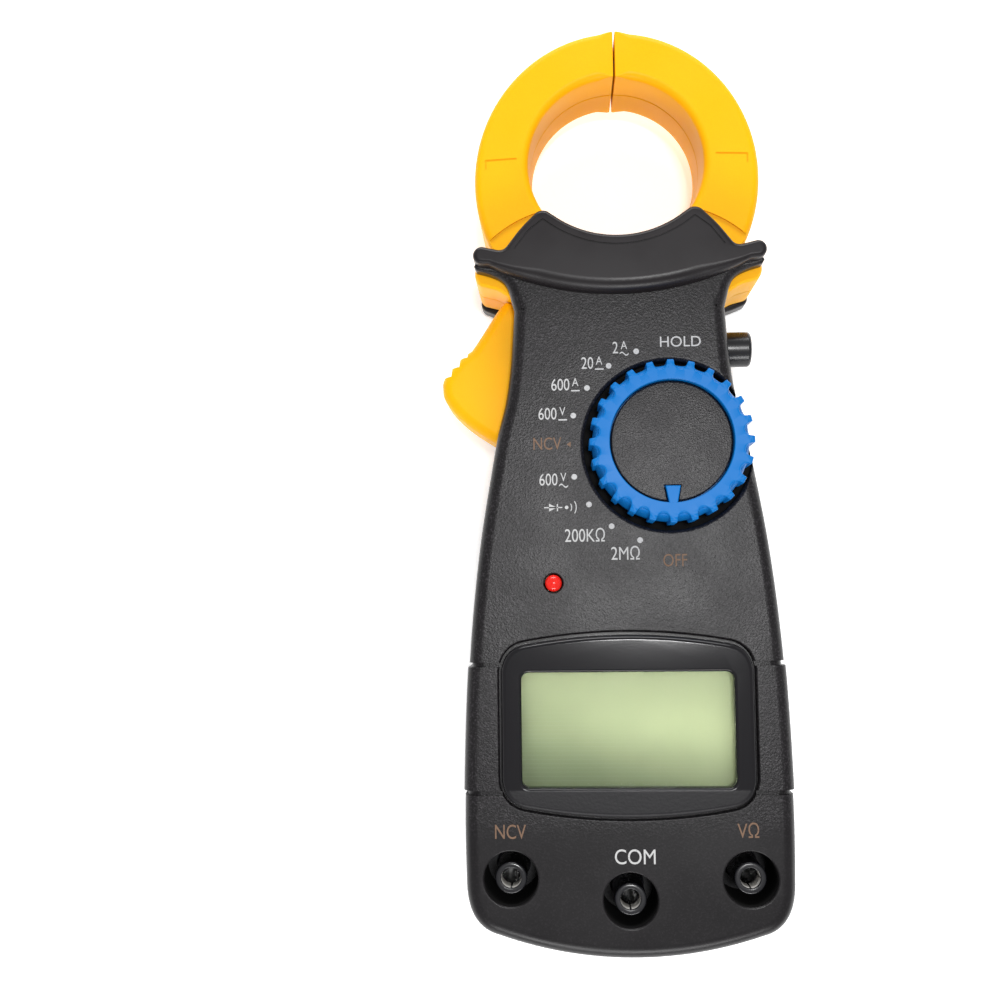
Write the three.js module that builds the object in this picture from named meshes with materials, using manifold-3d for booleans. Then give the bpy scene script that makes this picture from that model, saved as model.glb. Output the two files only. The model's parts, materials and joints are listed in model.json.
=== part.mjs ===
// A hand-held clamp meter, lying on its back: +Z is the way its face points, +Y runs from the
// sockets to the jaws and +X to the right as the face is read. The origin is the point of the flat
// back on the centre line, half way along the body. All sizes are in millimetres.
//
// The yellow jaws are two half rings between the front and rear guards. The right jaw is screwed
// into the case. The left jaw and the trigger are one lever, which turns on the pivot pin.

import * as THREE from "three";
import { mergeVertices } from "three/addons/utils/BufferGeometryUtils.js";
import Module from "manifold-3d";

const wasm = await Module();
wasm.setup();

// ---------------------------------------------------------------- driving dimensions

const GAP = 0.3; // between neighbouring pieces
const WALL = 2; // of the case halves
const EDGE = 3; // rounding of the case's front and back edges

const CASE = { back: 0, parting: 15, face: 30, bottom: -100.7, top: 46.5, bottomRadius: 87 };
const CASE_SIDE = [
  [23, 46.5],
  [23.4, 38],
  [24.2, 27],
  [25.4, 18.8],
  [27.2, 11.5],
  [29.2, 0.6],
  [31.4, -13],
  [33.2, -29],
  [34.4, -46.5],
  [35.1, -70],
  [34.9, -85.5],
];
const CASE_CORNER = { controlX: 34.6, controlY: -94.4, endX: 28 };

const GUARD = { z0: 26.8, z1: 33.5, rearZ1: 5.7, earX: 32.1, earRadius: 1.95, edge: 1.3 };
const GUARD_FRONT = { lowerY: 42.1, lowerRadius: 65, earY: 50.8 };
const GUARD_REAR = { lowerY: 40, lowerRadius: 98, earY: 47 };
const GUARD_ARC = { y: 78.3, radius: 23.6, halfWidth: 14 }; // the concave edge round the conductor
const GUARD_PEAK = { x: 16.6, y: 58, radius: 2.6 };
const GUARD_EAR_BACK = [
  [28.2, 52.3],
  [25.6, 51.7],
];
const GUARD_LOWER_X = 29.5; // where the bowed lower edge meets the ear
const THROAT = { halfWidth: 12, thickness: 1.7 };
const SHOULDER_EDGE = 0.7;
const SHOULDER_SIDE = [
  [20, 38],
  [23.4, 38],
  [23.9, 42],
  [24.7, 44.2],
  [25.9, 45.9],
  [28.1, 47.2],
  [31.3, 48.2],
  [32.1, 49.2],
  [31.6, 50.3],
  [20, 46.5],
];

const JAW = { z0: 6, z1: 27, gap: 0.2, edge: 1.6, wall: 1.6 };
const JAW_OVAL = { y: 69.8, halfWidth: 32, halfHeight: 34.2 };
const JAW_HOLE = { y: 73.7, radius: 19.6, rootRadius: 27.6 };
const JAW_STEP = { z: 26.5, radius: 27.3 }; // under the guard the face is lower, round the pivot
const JAW_ROOT = [
  [16, 40.4],
  [23.6, 42.6],
  [27.2, 45.7],
  [30.2, 46.3],
  [31.8, 47.8],
  [32, 49.6],
  [30.6, 51.8],
];
const JAW_ROOT_Y = 39.5;
const CORE = { z0: 11.5, z1: 21.5, halfWidth: 28.4, halfHeight: 30.6, innerRadius: 23.2 };
const CORE_ROOT = [
  [0.2, 43],
  [14, 43.8],
  [22, 45.6],
  [26.6, 48.6],
  [27.6, 54],
];
const CORE_HEEL = [
  [13.4, 49.6],
  [0.2, 47.4],
];
const COIL = { cover: 1.3, fromDegrees: -20, toDegrees: 30 };
const PIVOT = { x: 10, y: 36, hubRadius: 5.5, pinRadius: 2 };

const TRIGGER = { z0: 9, z1: 22, edge: 2.2, tongueStep: 2.5 };
const TRIGGER_ARM = { x: -22, y0: 32.6, y1: 39, z0: 11.7, z1: 19.3 };
const TRIGGER_BACK = [
  [-26.2, 10],
  [-28.6, 10.9],
  [-34, 14.6],
  [-37.7, 18.1],
  [-39.6, 20.9],
  [-40.1, 23],
  [-39.7, 25.9],
  [-36, 30.3],
  [-33.4, 32.2],
  [-30.1, 37.1],
  [-27.2, 41.6],
  [-24.8, 44.6],
];
const TRIGGER_TEETH = { x: -39.7, y: 25.9, count: 3, runX: 1.85, runY: 2.2, slope: 0.2 };
const TRIGGER_INSIDE = [
  [-18.5, 38.5],
  [-15.6, 33],
  [-19, 29],
  [-21.8, 24],
  [-24, 12],
];

const DIAL = { x: 10.2, y: 8.5, wellRadius: 19.3, floor: 26.5, ringRadius: 16.7, top: 37 };
const DIAL_SHAFT = { radius: 3.9, hole: 4.3, z0: 20.2 };
const DIAL_CAP = { radius: 12.9, z0: 32.9, z1: 35.5, edge: 0.4 };
const DIAL_TEETH = { count: 24, radius: 17.5, width: 1.6 };
const ROTOR = { radius: 10, bore: 4.2, z0: 20.7, z1: 23.2 };
const WIPER = { radius: 5.6, reach: 9.2, halfWidth: 0.9, z0: 19.6, z1: 20.3 };
const DETENT = { x: 7.5, z: 22.55, radius: 0.85, pocket: 1.4 };
const POINTER = { inner: 9.6, outer: 13.4, innerWidth: 3.4, outerWidth: 1.6 };

const WINDOW = { halfWidth: 22.6, y0: -64.6, y1: -40.4, corner: 1.6 };
const BEZEL = { halfWidth: 26.85, y0: -70.95, y1: -32.5, z0: 28.6, z1: 32, edge: 1 };
const BEZEL_ARCH = { radius: 122, x: 22, corner: 5.6 };
const LENS = { z0: 28.2, z1: 29.3, lip: 0.6 };
const GLASS = { halfWidth: 23, y0: -65.6, y1: -38.8, z0: 24.6, z1: 27.6 };
const HOLDER = { halfWidth: 25.5, y0: -68.4, y1: -36.4, z1: 24.2 };
const CONNECTOR = { halfWidth: 21, y0: -65.1, y1: -62.9 };
const SHROUD = { radius: 5.75, wall: 1.3, z0: 14 };
const JACK = { postRadius: 3.4, postTop: 28.9, postBore: 2.75, flangeRadius: 6.8, base: 12, flangeTop: 13.7 };
const CONTACT = { radius: 2.45, bore: 2.05, z0: 9.4, z1: 28.1, end: 1.2, lugY: 8 };
const JACKS = [
  { name: "left", x: -25.3, y: -83.9 },
  { name: "common", x: 0, y: -88.3 },
  { name: "right", x: 25.3, y: -83.9 },
];

const BUTTON = { x0: 20.3, x1: 29.8, y0: 27.3, y1: 35.2, z0: 16, z1: 24, flange: 0.9, edge: 0.8 };
const BOARD = { z0: 17.6, z1: 19.2, inset: 3.2, bottom: -94, top: 27.6, notchX: -9.2, notchY: -1 };
const BUZZER = { x: -20, y: -30, radius: 8.4, z0: 14.8, z1: 17.2 };
const CELL = { radius: 5.25, length: 44.5, tipRadius: 1.9, tip: 1.2, spacing: 5.6, z: 7.6, y0: -69.5 };
const CELL_SPRING = { radius: 3.4, wire: 0.4, length: 2.8, turns: 3, taper: 1.6 };
const BAY = { halfWidth: 12.6, y0: -73, y1: -21, z1: 13.2, wall: 1.4 };
const BELT_GROOVES = { y: [-38.8, -66], halfWidth: 0.5, depth: 0.7, x: 27.4 };
const DISPLAY_HOLE = { halfWidth: 23.5, y0: -66.2, y1: -38.4, corner: 1.5 };
const DOOR = { halfWidth: 14.5, y0: -80, y1: -20.5, thickness: 1.7, corner: 2.5 };
const DOOR_GRIPS = { count: 5, y: -29, pitch: 2.4, halfWidth: 7, depth: 0.5 };
const DOOR_SCREW = { x: 0, y: -76.8, headZ0: 0.2, headZ1: 0.9, headRadius: 2.3, length: 7 };
const SCREW = { headRadius: 2.6, headZ0: 1.2, headZ1: 3, shankRadius: 1.3, length: 18, postRadius: 3.2 };
const CASE_SCREWS = [
  [-27, -14],
  [27, -14],
  [-29.2, -66],
  [29.2, -66],
  [10, 36],
];
const LED = { x: -15.4, y: -21.3, radius: 1.8, z0: 19.5, top: 31.2 };
const RETURN_SPRING = { y: 25, z: 13, x0: -19.6, x1: -8.3, radius: 2.6, wire: 0.45, turns: 6 };
const POST = { x0: -8, x1: -5.8, halfWidth: 3.2, z1: 16.4 };

// ---------------------------------------------------------------- outlines

const point = (x, y) => new THREE.Vector2(x, y);
const mirrored = (points) => points.map((p) => point(-p.x, p.y)).reverse();
const degrees = THREE.MathUtils.degToRad;
const asinDegrees = (ratio) => THREE.MathUtils.radToDeg(Math.asin(ratio));

function arc(x, y, radiusX, radiusY, from, to, steps) {
  const curve = new THREE.EllipseCurve(x, y, radiusX, radiusY, degrees(from), degrees(to), to < from);
  return curve.getPoints(steps);
}

// A closed outline moved inwards, or outwards for a negative distance, along its mitred normals.
function inset(points, distance) {
  const sign = THREE.ShapeUtils.area(points) > 0 ? 1 : -1;
  return points.map((p, i) => {
    const before = points[(i + points.length - 1) % points.length];
    const after = points[(i + 1) % points.length];
    const a = p.clone().sub(before).normalize();
    const b = after.clone().sub(p).normalize();
    const normal = point(-a.y - b.y, a.x + b.x).normalize();
    const mitre = Math.max(0.5, normal.dot(point(-a.y, a.x)));
    return p.clone().addScaledVector(normal, (sign * distance) / mitre);
  });
}

function roundedRectangle(x0, x1, y0, y1, radius, steps = 4) {
  return [
    ...arc(x1 - radius, y0 + radius, radius, radius, -90, 0, steps),
    ...arc(x1 - radius, y1 - radius, radius, radius, 0, 90, steps),
    ...arc(x0 + radius, y1 - radius, radius, radius, 90, 180, steps),
    ...arc(x0 + radius, y0 + radius, radius, radius, 180, 270, steps),
  ];
}

// The right half of the case, from the bottom centre up to the top.
function caseHalf() {
  const { bottom, bottomRadius } = CASE;
  const { controlX, controlY, endX } = CASE_CORNER;
  const centreY = bottom + bottomRadius;
  const base = arc(0, centreY, bottomRadius, bottomRadius, -90, -90 + asinDegrees(endX / bottomRadius), 3);
  const side = [...CASE_SIDE].reverse().map(([x, y]) => point(x, y));
  const corner = new THREE.QuadraticBezierCurve(base.at(-1), point(controlX, controlY), side[0]);
  return [...base, ...corner.getPoints(4).slice(1), ...new THREE.SplineCurve(side).getPoints(12).slice(1)];
}

function caseOutline() {
  const half = caseHalf();
  return [...half, ...mirrored(half).slice(0, -1)];
}

// The hand guard: two peaks beside the conductor, ears over the roots of the jaws, and a bowed lower edge.
function guardOutline({ lowerY, lowerRadius, earY }) {
  const { earX, earRadius } = GUARD;
  const sweep = asinDegrees(GUARD_LOWER_X / lowerRadius);
  const lower = arc(0, lowerY + lowerRadius, lowerRadius, lowerRadius, -90, -90 + sweep, 6);
  const ear = arc(earX - earRadius, earY, earRadius, earRadius, -60, 95, 5);
  const back = GUARD_EAR_BACK.map(([x, y]) => point(x, y));
  const peak = arc(GUARD_PEAK.x, GUARD_PEAK.y, GUARD_PEAK.radius, GUARD_PEAK.radius, 40, 112, 4);
  const reach = asinDegrees(GUARD_ARC.halfWidth / GUARD_ARC.radius);
  const hollow = arc(0, GUARD_ARC.y, GUARD_ARC.radius, GUARD_ARC.radius, -90 + reach, -90, 6);
  const half = [...lower, ...ear, ...back, ...peak, ...hollow];
  return [...half, ...mirrored(half).slice(1, -1)];
}

// The right jaw seen from the front: half a ring with a shoulder under the guard.
function jawOutline() {
  const { y, radius, rootRadius } = JAW_HOLE;
  return [
    point(JAW.gap, JAW_ROOT_Y),
    ...JAW_ROOT.map(([px, py]) => point(px, py)),
    ...arc(0, JAW_OVAL.y, JAW_OVAL.halfWidth, JAW_OVAL.halfHeight, -28, 89.6, 14),
    ...arc(0, y, radius, radius, 89.4, -38, 13),
    ...arc(0, GUARD_ARC.y, rootRadius, rootRadius, -62, -89.6, 5),
  ];
}

// The iron core in it, which is bare at both of its ends.
function coreOutline() {
  return [
    ...CORE_ROOT.map(([x, y]) => point(x, y)),
    ...arc(0, JAW_OVAL.y, CORE.halfWidth, CORE.halfHeight, -18, 89.6, 9),
    ...arc(0, JAW_HOLE.y, CORE.innerRadius, CORE.innerRadius, 89.5, -42, 9),
    ...CORE_HEEL.map(([x, y]) => point(x, y)),
  ];
}

const triggerOutline = () => [...TRIGGER_BACK, ...TRIGGER_INSIDE].map(([x, y]) => point(x, y));

// The steps behind the trigger's knuckle, as the notches cut between them.
function triggerNotches() {
  const { x, y, count, runX, runY, slope } = TRIGGER_TEETH;
  return Array.from({ length: count }, (_, i) => {
    const tip = point(x + runX * i, y + runY * i);
    const root = point(tip.x + runX - slope, tip.y + slope);
    const next = point(tip.x + runX, tip.y + runY);
    return slab([tip, root, next, point(next.x - 3, next.y)], 0, FAR);
  });
}

// ---------------------------------------------------------------- solids

// A closed three.js geometry as a manifold-3d solid, for joining and cutting.
function solidFrom(geometry) {
  const bare = geometry.index ? geometry.toNonIndexed() : geometry.clone();
  bare.deleteAttribute("normal");
  bare.deleteAttribute("uv");
  const merged = mergeVertices(bare, 1e-4);
  const corners = [...merged.index.array];
  const triangles = [];
  for (let i = 0; i < corners.length; i += 3) {
    const [a, b, c] = corners.slice(i, i + 3);
    if (a !== b && b !== c && c !== a) triangles.push(a, b, c);
  }
  const mesh = { numProp: 3, vertProperties: merged.attributes.position.array };
  return new wasm.Manifold(new wasm.Mesh({ ...mesh, triVerts: new Uint32Array(triangles) }));
}

function geometryFrom(solid) {
  const { vertProperties, triVerts } = solid.getMesh();
  const geometry = new THREE.BufferGeometry();
  geometry.setAttribute("position", new THREE.BufferAttribute(new Float32Array(vertProperties), 3));
  geometry.setIndex(new THREE.BufferAttribute(new Uint32Array(triVerts), 1));
  const flat = geometry.toNonIndexed();
  flat.computeVertexNormals();
  return flat;
}

const joined = (...solids) => solids.reduce((a, b) => a.add(b));
const cut = (solid, ...tools) => tools.reduce((a, b) => a.subtract(b), solid);

function slab(points, z0, z1) {
  const geometry = new THREE.ExtrudeGeometry(new THREE.Shape(points), { depth: z1 - z0, bevelEnabled: false });
  return solidFrom(geometry.translate(0, 0, z0));
}

// A slab with rounded edges at both of its faces.
function roundedSlab(points, z0, z1, radius, segments = 2) {
  const geometry = new THREE.ExtrudeGeometry(new THREE.Shape(points), {
    depth: z1 - z0 - 2 * radius,
    bevelThickness: radius,
    bevelSize: radius,
    bevelOffset: -radius,
    bevelSegments: segments,
  });
  return solidFrom(geometry.translate(0, 0, z0 + radius));
}

function box(x0, x1, y0, y1, z0, z1) {
  const geometry = new THREE.BoxGeometry(x1 - x0, y1 - y0, z1 - z0);
  return solidFrom(geometry.translate((x0 + x1) / 2, (y0 + y1) / 2, (z0 + z1) / 2));
}

// A cylinder along Z.
function rod(x, y, z0, z1, radius, sides = 20) {
  const geometry = new THREE.CylinderGeometry(radius, radius, z1 - z0, sides);
  return solidFrom(geometry.rotateX(Math.PI / 2).translate(x, y, (z0 + z1) / 2));
}

// A profile of [radius, z] turned about the Z axis. It starts and ends on the axis, or closes on itself.
function turned(profile, sides = 24) {
  const geometry = new THREE.LatheGeometry(profile.map(([r, z]) => point(r, z)), sides);
  return solidFrom(geometry.rotateX(Math.PI / 2));
}

function tube(radius, bore, z0, z1, sides = 20) {
  return turned([[bore, z0], [radius, z0], [radius, z1], [bore, z1], [bore, z0]], sides);
}

// A coil spring along Z whose wire is drawn along a helix.
function spring({ radius, wire, turns, taper = 0 }, z0, z1) {
  class Helix extends THREE.Curve {
    getPoint(t, target = new THREE.Vector3()) {
      const angle = 2 * Math.PI * turns * t;
      const r = radius - taper * t;
      return target.set(r * Math.cos(angle), r * Math.sin(angle), z0 + wire + (z1 - z0 - 2 * wire) * t);
    }
  }
  const section = new THREE.Shape(arc(0, 0, wire, wire, 0, 360, 4).slice(0, -1));
  const geometry = new THREE.ExtrudeGeometry(section, { steps: turns * 7, extrudePath: new Helix() });
  return solidFrom(geometry);
}

// ---------------------------------------------------------------- materials

function finish(color, roughness, metalness = 0, more = {}) {
  return new THREE.MeshStandardMaterial({ color, roughness, metalness, ...more });
}
const casePlastic = finish(0x2b2a2c, 0.62);
const guardPlastic = finish(0x2f2b2d, 0.45);
const jawPlastic = finish(0xffb90f, 0.42);
const dialPlastic = finish(0x1f7fdc, 0.4);
const blackPlastic = finish(0x121214, 0.35);
const clear = finish(0xdfe8d8, 0.08, 0, { transparent: true, opacity: 0.35 });
const lcdGreen = finish(0xb4c695, 0.3);
const whitePlastic = finish(0xe6e4dc, 0.6);
const boardGreen = finish(0x1f6b3a, 0.5);
const steel = finish(0xb9bcc0, 0.28, 1);
const nickel = finish(0xd8d4cc, 0.2, 1);
const brass = finish(0xc9a24a, 0.3, 1);
const ironCore = finish(0x7c7f83, 0.45, 1);
const copper = finish(0xb0602c, 0.35, 1);
const greyRubber = finish(0x6a6a6e, 0.8);
const redLens = finish(0xd01810, 0.2);
const cellJacket = finish(0x2a4a86, 0.35);

// ---------------------------------------------------------------- case

const outline = caseOutline();
const frontGuard = guardOutline(GUARD_FRONT);
const rearGuard = guardOutline(GUARD_REAR);
const FAR = 120; // a length past every edge, for cutting boxes

function doorOutline(grow) {
  const { halfWidth, y0, y1, corner } = DOOR;
  return roundedRectangle(-halfWidth - grow, halfWidth + grow, y0 - grow, y1 + grow, corner + grow);
}

const whole = (z0, z1) => box(-FAR, FAR, -FAR, FAR, z0, z1);
const screwPost = (x, y, z0, z1) => rod(x, y, z0, z1, SCREW.postRadius, 16);
const shankHole = ([x, y], z1) => rod(x, y, 0, z1, SCREW.shankRadius + GAP, 10);
const pivotHole = (z0, z1) => rod(-PIVOT.x, PIVOT.y, z0, z1, PIVOT.pinRadius + GAP, 16);
const jawRoom = (z0, z1) => joined(box(-FAR, 0, 34.6, FAR, z0, z1), box(-0.1, FAR, 39, FAR, z0, z1));

// The opening in the case's left side that the trigger swings in.
const triggerSlot = () => box(-FAR, -19, 3.2, CASE.top + 1, TRIGGER.z0 - 0.5, TRIGGER.z1 + 0.5);

// The cover flares out to both sides under the ears of the guard.
const shoulderOutline = SHOULDER_SIDE.map(([x, y]) => point(x, y));
const shoulderOutlines = [shoulderOutline, mirrored(shoulderOutline)];

function shoulders() {
  const tall = (side) => roundedSlab(side, GUARD.z0 - 5, CASE.face, SHOULDER_EDGE);
  return shoulderOutlines.map((side) => cut(tall(side), whole(0, GUARD.z0)));
}

// The ring round the dial, and the ledge under the display's frame, inside the front cover.
function frontSeats() {
  const { x, y, floor, wellRadius } = DIAL;
  const well = rod(x, y, floor - 1.5, CASE.face - 0.5, wellRadius + 1.4, 40);
  const bezelLedge = slab(inset(bezelOutline(), -1.6), BEZEL.z0 - 2.2, CASE.face - 1);
  return joined(well.intersect(slab(inset(outline, 1), 0, FAR)), bezelLedge);
}

function frontPosts() {
  const top = CASE.face - WALL / 2;
  const shroud = ({ x, y }) => rod(x, y, SHROUD.z0, CASE.face - 1, SHROUD.radius + SHROUD.wall, 24);
  return [
    ...CASE_SCREWS.slice(0, 4).map(([x, y]) => screwPost(x, y, CASE.parting + GAP / 2, top)),
    screwPost(PIVOT.x, PIVOT.y, GUARD.z0, top),
    rod(-PIVOT.x, PIVOT.y, GUARD.z0, top, PIVOT.hubRadius - 1, 16),
    ...JACKS.map(shroud),
  ];
}

function frontHoles() {
  const { x, y, floor, wellRadius } = DIAL;
  const { halfWidth, y0, y1, corner } = DISPLAY_HOLE;
  return [
    rod(x, y, floor, FAR, wellRadius, 40),
    rod(x, y, 0, FAR, DIAL_SHAFT.hole, 20),
    ...JACKS.map((jack) => rod(jack.x, jack.y, 0, FAR, SHROUD.radius, 24)),
    ...CASE_SCREWS.map((place) => shankHole(place, 23)),
    pivotHole(0, 28),
    rod(LED.x, LED.y, 0, FAR, LED.radius + GAP, 12),
    slab(inset(bezelOutline(), -GAP), BEZEL.z0 - GAP, FAR),
    slab(roundedRectangle(-halfWidth, halfWidth, y0, y1, corner), 0, FAR),
    triggerSlot(),
    box(18, FAR, BUTTON.y0 - GAP, BUTTON.y1 + GAP, BUTTON.z0 - GAP, BUTTON.z1 + GAP),
  ];
}

function beltGrooves() {
  const { halfWidth, depth, x } = BELT_GROOVES;
  return BELT_GROOVES.y.flatMap((y) => [
    box(x, FAR, y - halfWidth, y + halfWidth, CASE.face - depth, FAR),
    box(-FAR, -x, y - halfWidth, y + halfWidth, CASE.face - depth, FAR),
  ]);
}

function frontCover() {
  const z0 = CASE.parting + GAP / 2;
  const skin = cut(roundedSlab(outline, z0 - 8, CASE.face, EDGE), whole(z0 - 9, z0));
  const hollow = slab(inset(outline, WALL), z0 - 1, CASE.face - WALL);
  const board = slab(inset(outline, BOARD.inset - 0.4), BOARD.z0 - GAP, BOARD.z1 + GAP);
  const shell = cut(joined(cut(skin, hollow), frontSeats()), board, jawRoom(0, GUARD.z0));
  return cut(joined(shell, ...frontPosts(), ...shoulders()), ...frontHoles(), ...beltGrooves());
}

// The battery bay and the ledge the battery door lies in.
function rearSeats() {
  const { halfWidth, y0, y1, z1, wall } = BAY;
  const bay = box(-halfWidth - wall, halfWidth + wall, y0 - wall, y1 + wall, 0.5, z1 + wall);
  return joined(bay, slab(doorOutline(2), 1, DOOR.thickness + 2.3));
}

function rearPosts() {
  const { x0, x1, halfWidth, z1 } = POST;
  return [
    ...CASE_SCREWS.slice(0, 4).map(([x, y]) => screwPost(x, y, 1, CASE.parting - GAP / 2)),
    screwPost(PIVOT.x, PIVOT.y, 1, GUARD.rearZ1),
    rod(-PIVOT.x, PIVOT.y, 1, GUARD.rearZ1, PIVOT.hubRadius - 1, 16),
    screwPost(DOOR_SCREW.x, DOOR_SCREW.y, 1, 10),
    box(x0, x1, RETURN_SPRING.y - halfWidth, RETURN_SPRING.y + halfWidth, 1, z1),
  ];
}

function rearHoles() {
  return [
    box(-BAY.halfWidth, BAY.halfWidth, BAY.y0, BAY.y1, -1, BAY.z1),
    slab(doorOutline(GAP), -1, DOOR.thickness + GAP),
    ...CASE_SCREWS.map(([x, y]) => rod(x, y, -1, SCREW.headZ1 + GAP, SCREW.headRadius + GAP, 16)),
    ...CASE_SCREWS.map((place) => shankHole(place, FAR)),
    shankHole([DOOR_SCREW.x, DOOR_SCREW.y], 9),
    pivotHole(WALL - 0.5, FAR),
    triggerSlot(),
  ];
}

function rearCover() {
  const z1 = CASE.parting - GAP / 2;
  const inside = inset(outline, WALL);
  const skin = cut(roundedSlab(outline, 0, z1 + 8, EDGE), whole(z1, z1 + 9));
  const shell = cut(skin, slab(inside, WALL, z1 + 1), jawRoom(GUARD.rearZ1, FAR));
  const guard = cut(roundedSlab(rearGuard, 0, GUARD.rearZ1, GUARD.edge), slab(inside, WALL, FAR));
  return cut(joined(shell, guard, rearSeats(), ...rearPosts()), ...rearHoles());
}

// The guard laps over the top of the front cover, and its throat closes the case behind the conductor.
function handGuard() {
  const { y, radius } = GUARD_ARC;
  const plate = cut(roundedSlab(frontGuard, GUARD.z0 - 5, GUARD.z1, GUARD.edge), whole(0, GUARD.z0));
  const lap = joined(...[outline, ...shoulderOutlines].map((p) => slab(inset(p, -GAP), 0, CASE.face + GAP)));
  const throat = cut(
    rod(0, y, JAW.z0, GUARD.z0 + 1, radius + THROAT.thickness, 80),
    rod(0, y, 0, FAR, radius + 0.1, 80),
  );
  return joined(cut(plate, lap), throat.intersect(box(-THROAT.halfWidth, THROAT.halfWidth, 40, 60, 0, FAR)));
}

// ---------------------------------------------------------------- display

// Bowed above and below, straight at the sides, with rounded corners.
function bezelOutline() {
  const { halfWidth, y0, y1 } = BEZEL;
  const { radius, x, corner } = BEZEL_ARCH;
  const reach = asinDegrees(x / radius);
  const lower = arc(0, y0 + radius, radius, radius, -90, -90 + reach, 5);
  const upper = arc(0, y1 - radius, radius, radius, 90 - reach, 90, 5);
  const bend = (end, up) => {
    const control = point(halfWidth - 0.6, end.y + 0.9 * up);
    const curve = new THREE.QuadraticBezierCurve(end, control, point(halfWidth, end.y + corner * up));
    return curve.getPoints(5).slice(1);
  };
  const right = [...lower, ...bend(lower.at(-1), 1), ...bend(upper[0], -1).reverse(), ...upper];
  return [...right, ...mirrored(right).slice(1, -1)];
}

function windowOutline(grow) {
  const { halfWidth, y0, y1, corner } = WINDOW;
  return roundedRectangle(-halfWidth - grow, halfWidth + grow, y0 - grow, y1 + grow, corner);
}

function displayBezel() {
  const frame = roundedSlab(bezelOutline(), BEZEL.z0 - 3, BEZEL.z1, BEZEL.edge);
  const lensSeat = slab(windowOutline(LENS.lip + GAP), 0, LENS.z1 + GAP);
  return cut(frame, whole(0, BEZEL.z0), slab(windowOutline(0), 0, FAR), lensSeat);
}

const displayLens = () => slab(windowOutline(LENS.lip), LENS.z0, LENS.z1);

function displayGlass() {
  const { halfWidth, y0, y1, z0, z1 } = GLASS;
  return slab(roundedRectangle(-halfWidth, halfWidth, y0, y1, 0.6), z0, z1);
}

// The frame the glass lies on, open in the middle, with a slot for the rubber connector.
function displayHolder() {
  const { halfWidth, y0, y1, z1 } = HOLDER;
  const frame = box(-halfWidth, halfWidth, y0, y1, BOARD.z1 + GAP, z1);
  const side = CONNECTOR.halfWidth + 0.4;
  const slot = box(-side, side, CONNECTOR.y0 - GAP, CONNECTOR.y1 + GAP, 0, FAR);
  return cut(frame, box(-halfWidth + 3, halfWidth - 3, y0 + 7.4, y1 - 3.6, 0, FAR), slot);
}

function displayConnector() {
  const { halfWidth, y0, y1 } = CONNECTOR;
  return box(-halfWidth, halfWidth, y0, y1, BOARD.z1 + GAP, GLASS.z0 - GAP);
}

// ---------------------------------------------------------------- jaws and trigger, drawn for the right side

const jaw = jawOutline();
const core = coreOutline();

function hub(z0, z1, radius) {
  return rod(PIVOT.x, PIVOT.y, z0, z1, radius, 20);
}

const coreSlab = (grow, z0, z1) => slab(inset(core, -grow), z0, z1);

function jawShell(z0, z1, flatSide) {
  const { wall, edge } = JAW;
  const step = rod(PIVOT.x, PIVOT.y, JAW_STEP.z, FAR, JAW_STEP.radius, 60);
  const solid = joined(roundedSlab(jaw, JAW.z0, JAW.z1, edge), hub(JAW.z0, JAW.z1, PIVOT.hubRadius));
  const roof = rod(PIVOT.x, PIVOT.y, JAW_STEP.z - wall, FAR, JAW_STEP.radius + wall, 60);
  const hollow = cut(slab(inset(jaw, wall), JAW.z0 + wall, JAW.z1 - wall), roof);
  const half = cut(solid, hollow, flatSide);
  const bossed = joined(half, hub(z0, z1, PIVOT.hubRadius));
  const pinHole = rod(PIVOT.x, PIVOT.y, 0, FAR, PIVOT.pinRadius + GAP, 20);
  return cut(bossed, step, coreSlab(GAP, CORE.z0 - GAP, CORE.z1 + GAP), pinHole);
}

const jawSplit = (JAW.z0 + JAW.z1) / 2;
const frontJawShell = () => jawShell(jawSplit + GAP / 2, JAW.z1, whole(0, jawSplit + GAP / 2));
const rearJawShell = () => jawShell(JAW.z0, jawSplit - GAP / 2, whole(jawSplit - GAP / 2, FAR));

function tongueRoom(grow) {
  const { z0, z1, tongueStep } = TRIGGER;
  return hub(z0 + tongueStep - grow, z1 - tongueStep + grow, PIVOT.hubRadius + grow);
}

function jawCore() {
  return coreSlab(0, CORE.z0, CORE.z1);
}

// The secondary winding, a sleeve over the side of the core.
function jawCoil() {
  const { cover, fromDegrees, toDegrees } = COIL;
  const sleeve = coreSlab(cover, CORE.z0 - cover, CORE.z1 + cover);
  const wedge = [point(0, JAW_HOLE.y), ...arc(0, JAW_HOLE.y, 60, 60, fromDegrees, toDegrees, 6)];
  return cut(sleeve.intersect(slab(wedge, 0, FAR)), coreSlab(GAP / 2, CORE.z0 - GAP / 2, CORE.z1 + GAP / 2));
}

// A solid drawn for the right side, turned over to the left. Swapping two corners keeps its faces out.
function leftHanded(solid) {
  const { vertProperties, triVerts } = solid.getMesh();
  const flipped = vertProperties.map((v, i) => (i % 3 === 0 ? -v : v));
  const turnedRound = new Uint32Array(triVerts);
  for (let i = 0; i < turnedRound.length; i += 3) {
    [turnedRound[i + 1], turnedRound[i + 2]] = [triVerts[i + 2], triVerts[i + 1]];
  }
  return new wasm.Manifold(new wasm.Mesh({ numProp: 3, vertProperties: flipped, triVerts: turnedRound }));
}

const leftJaw = mirrored(jaw);

// The bar that joins the trigger to its hub.
function triggerArm(grow) {
  const { x, y0, y1, z0, z1 } = TRIGGER_ARM;
  return box(x - grow, -PIVOT.x, y0 - grow, y1 + grow, z0 - grow, z1 + grow);
}

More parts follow.
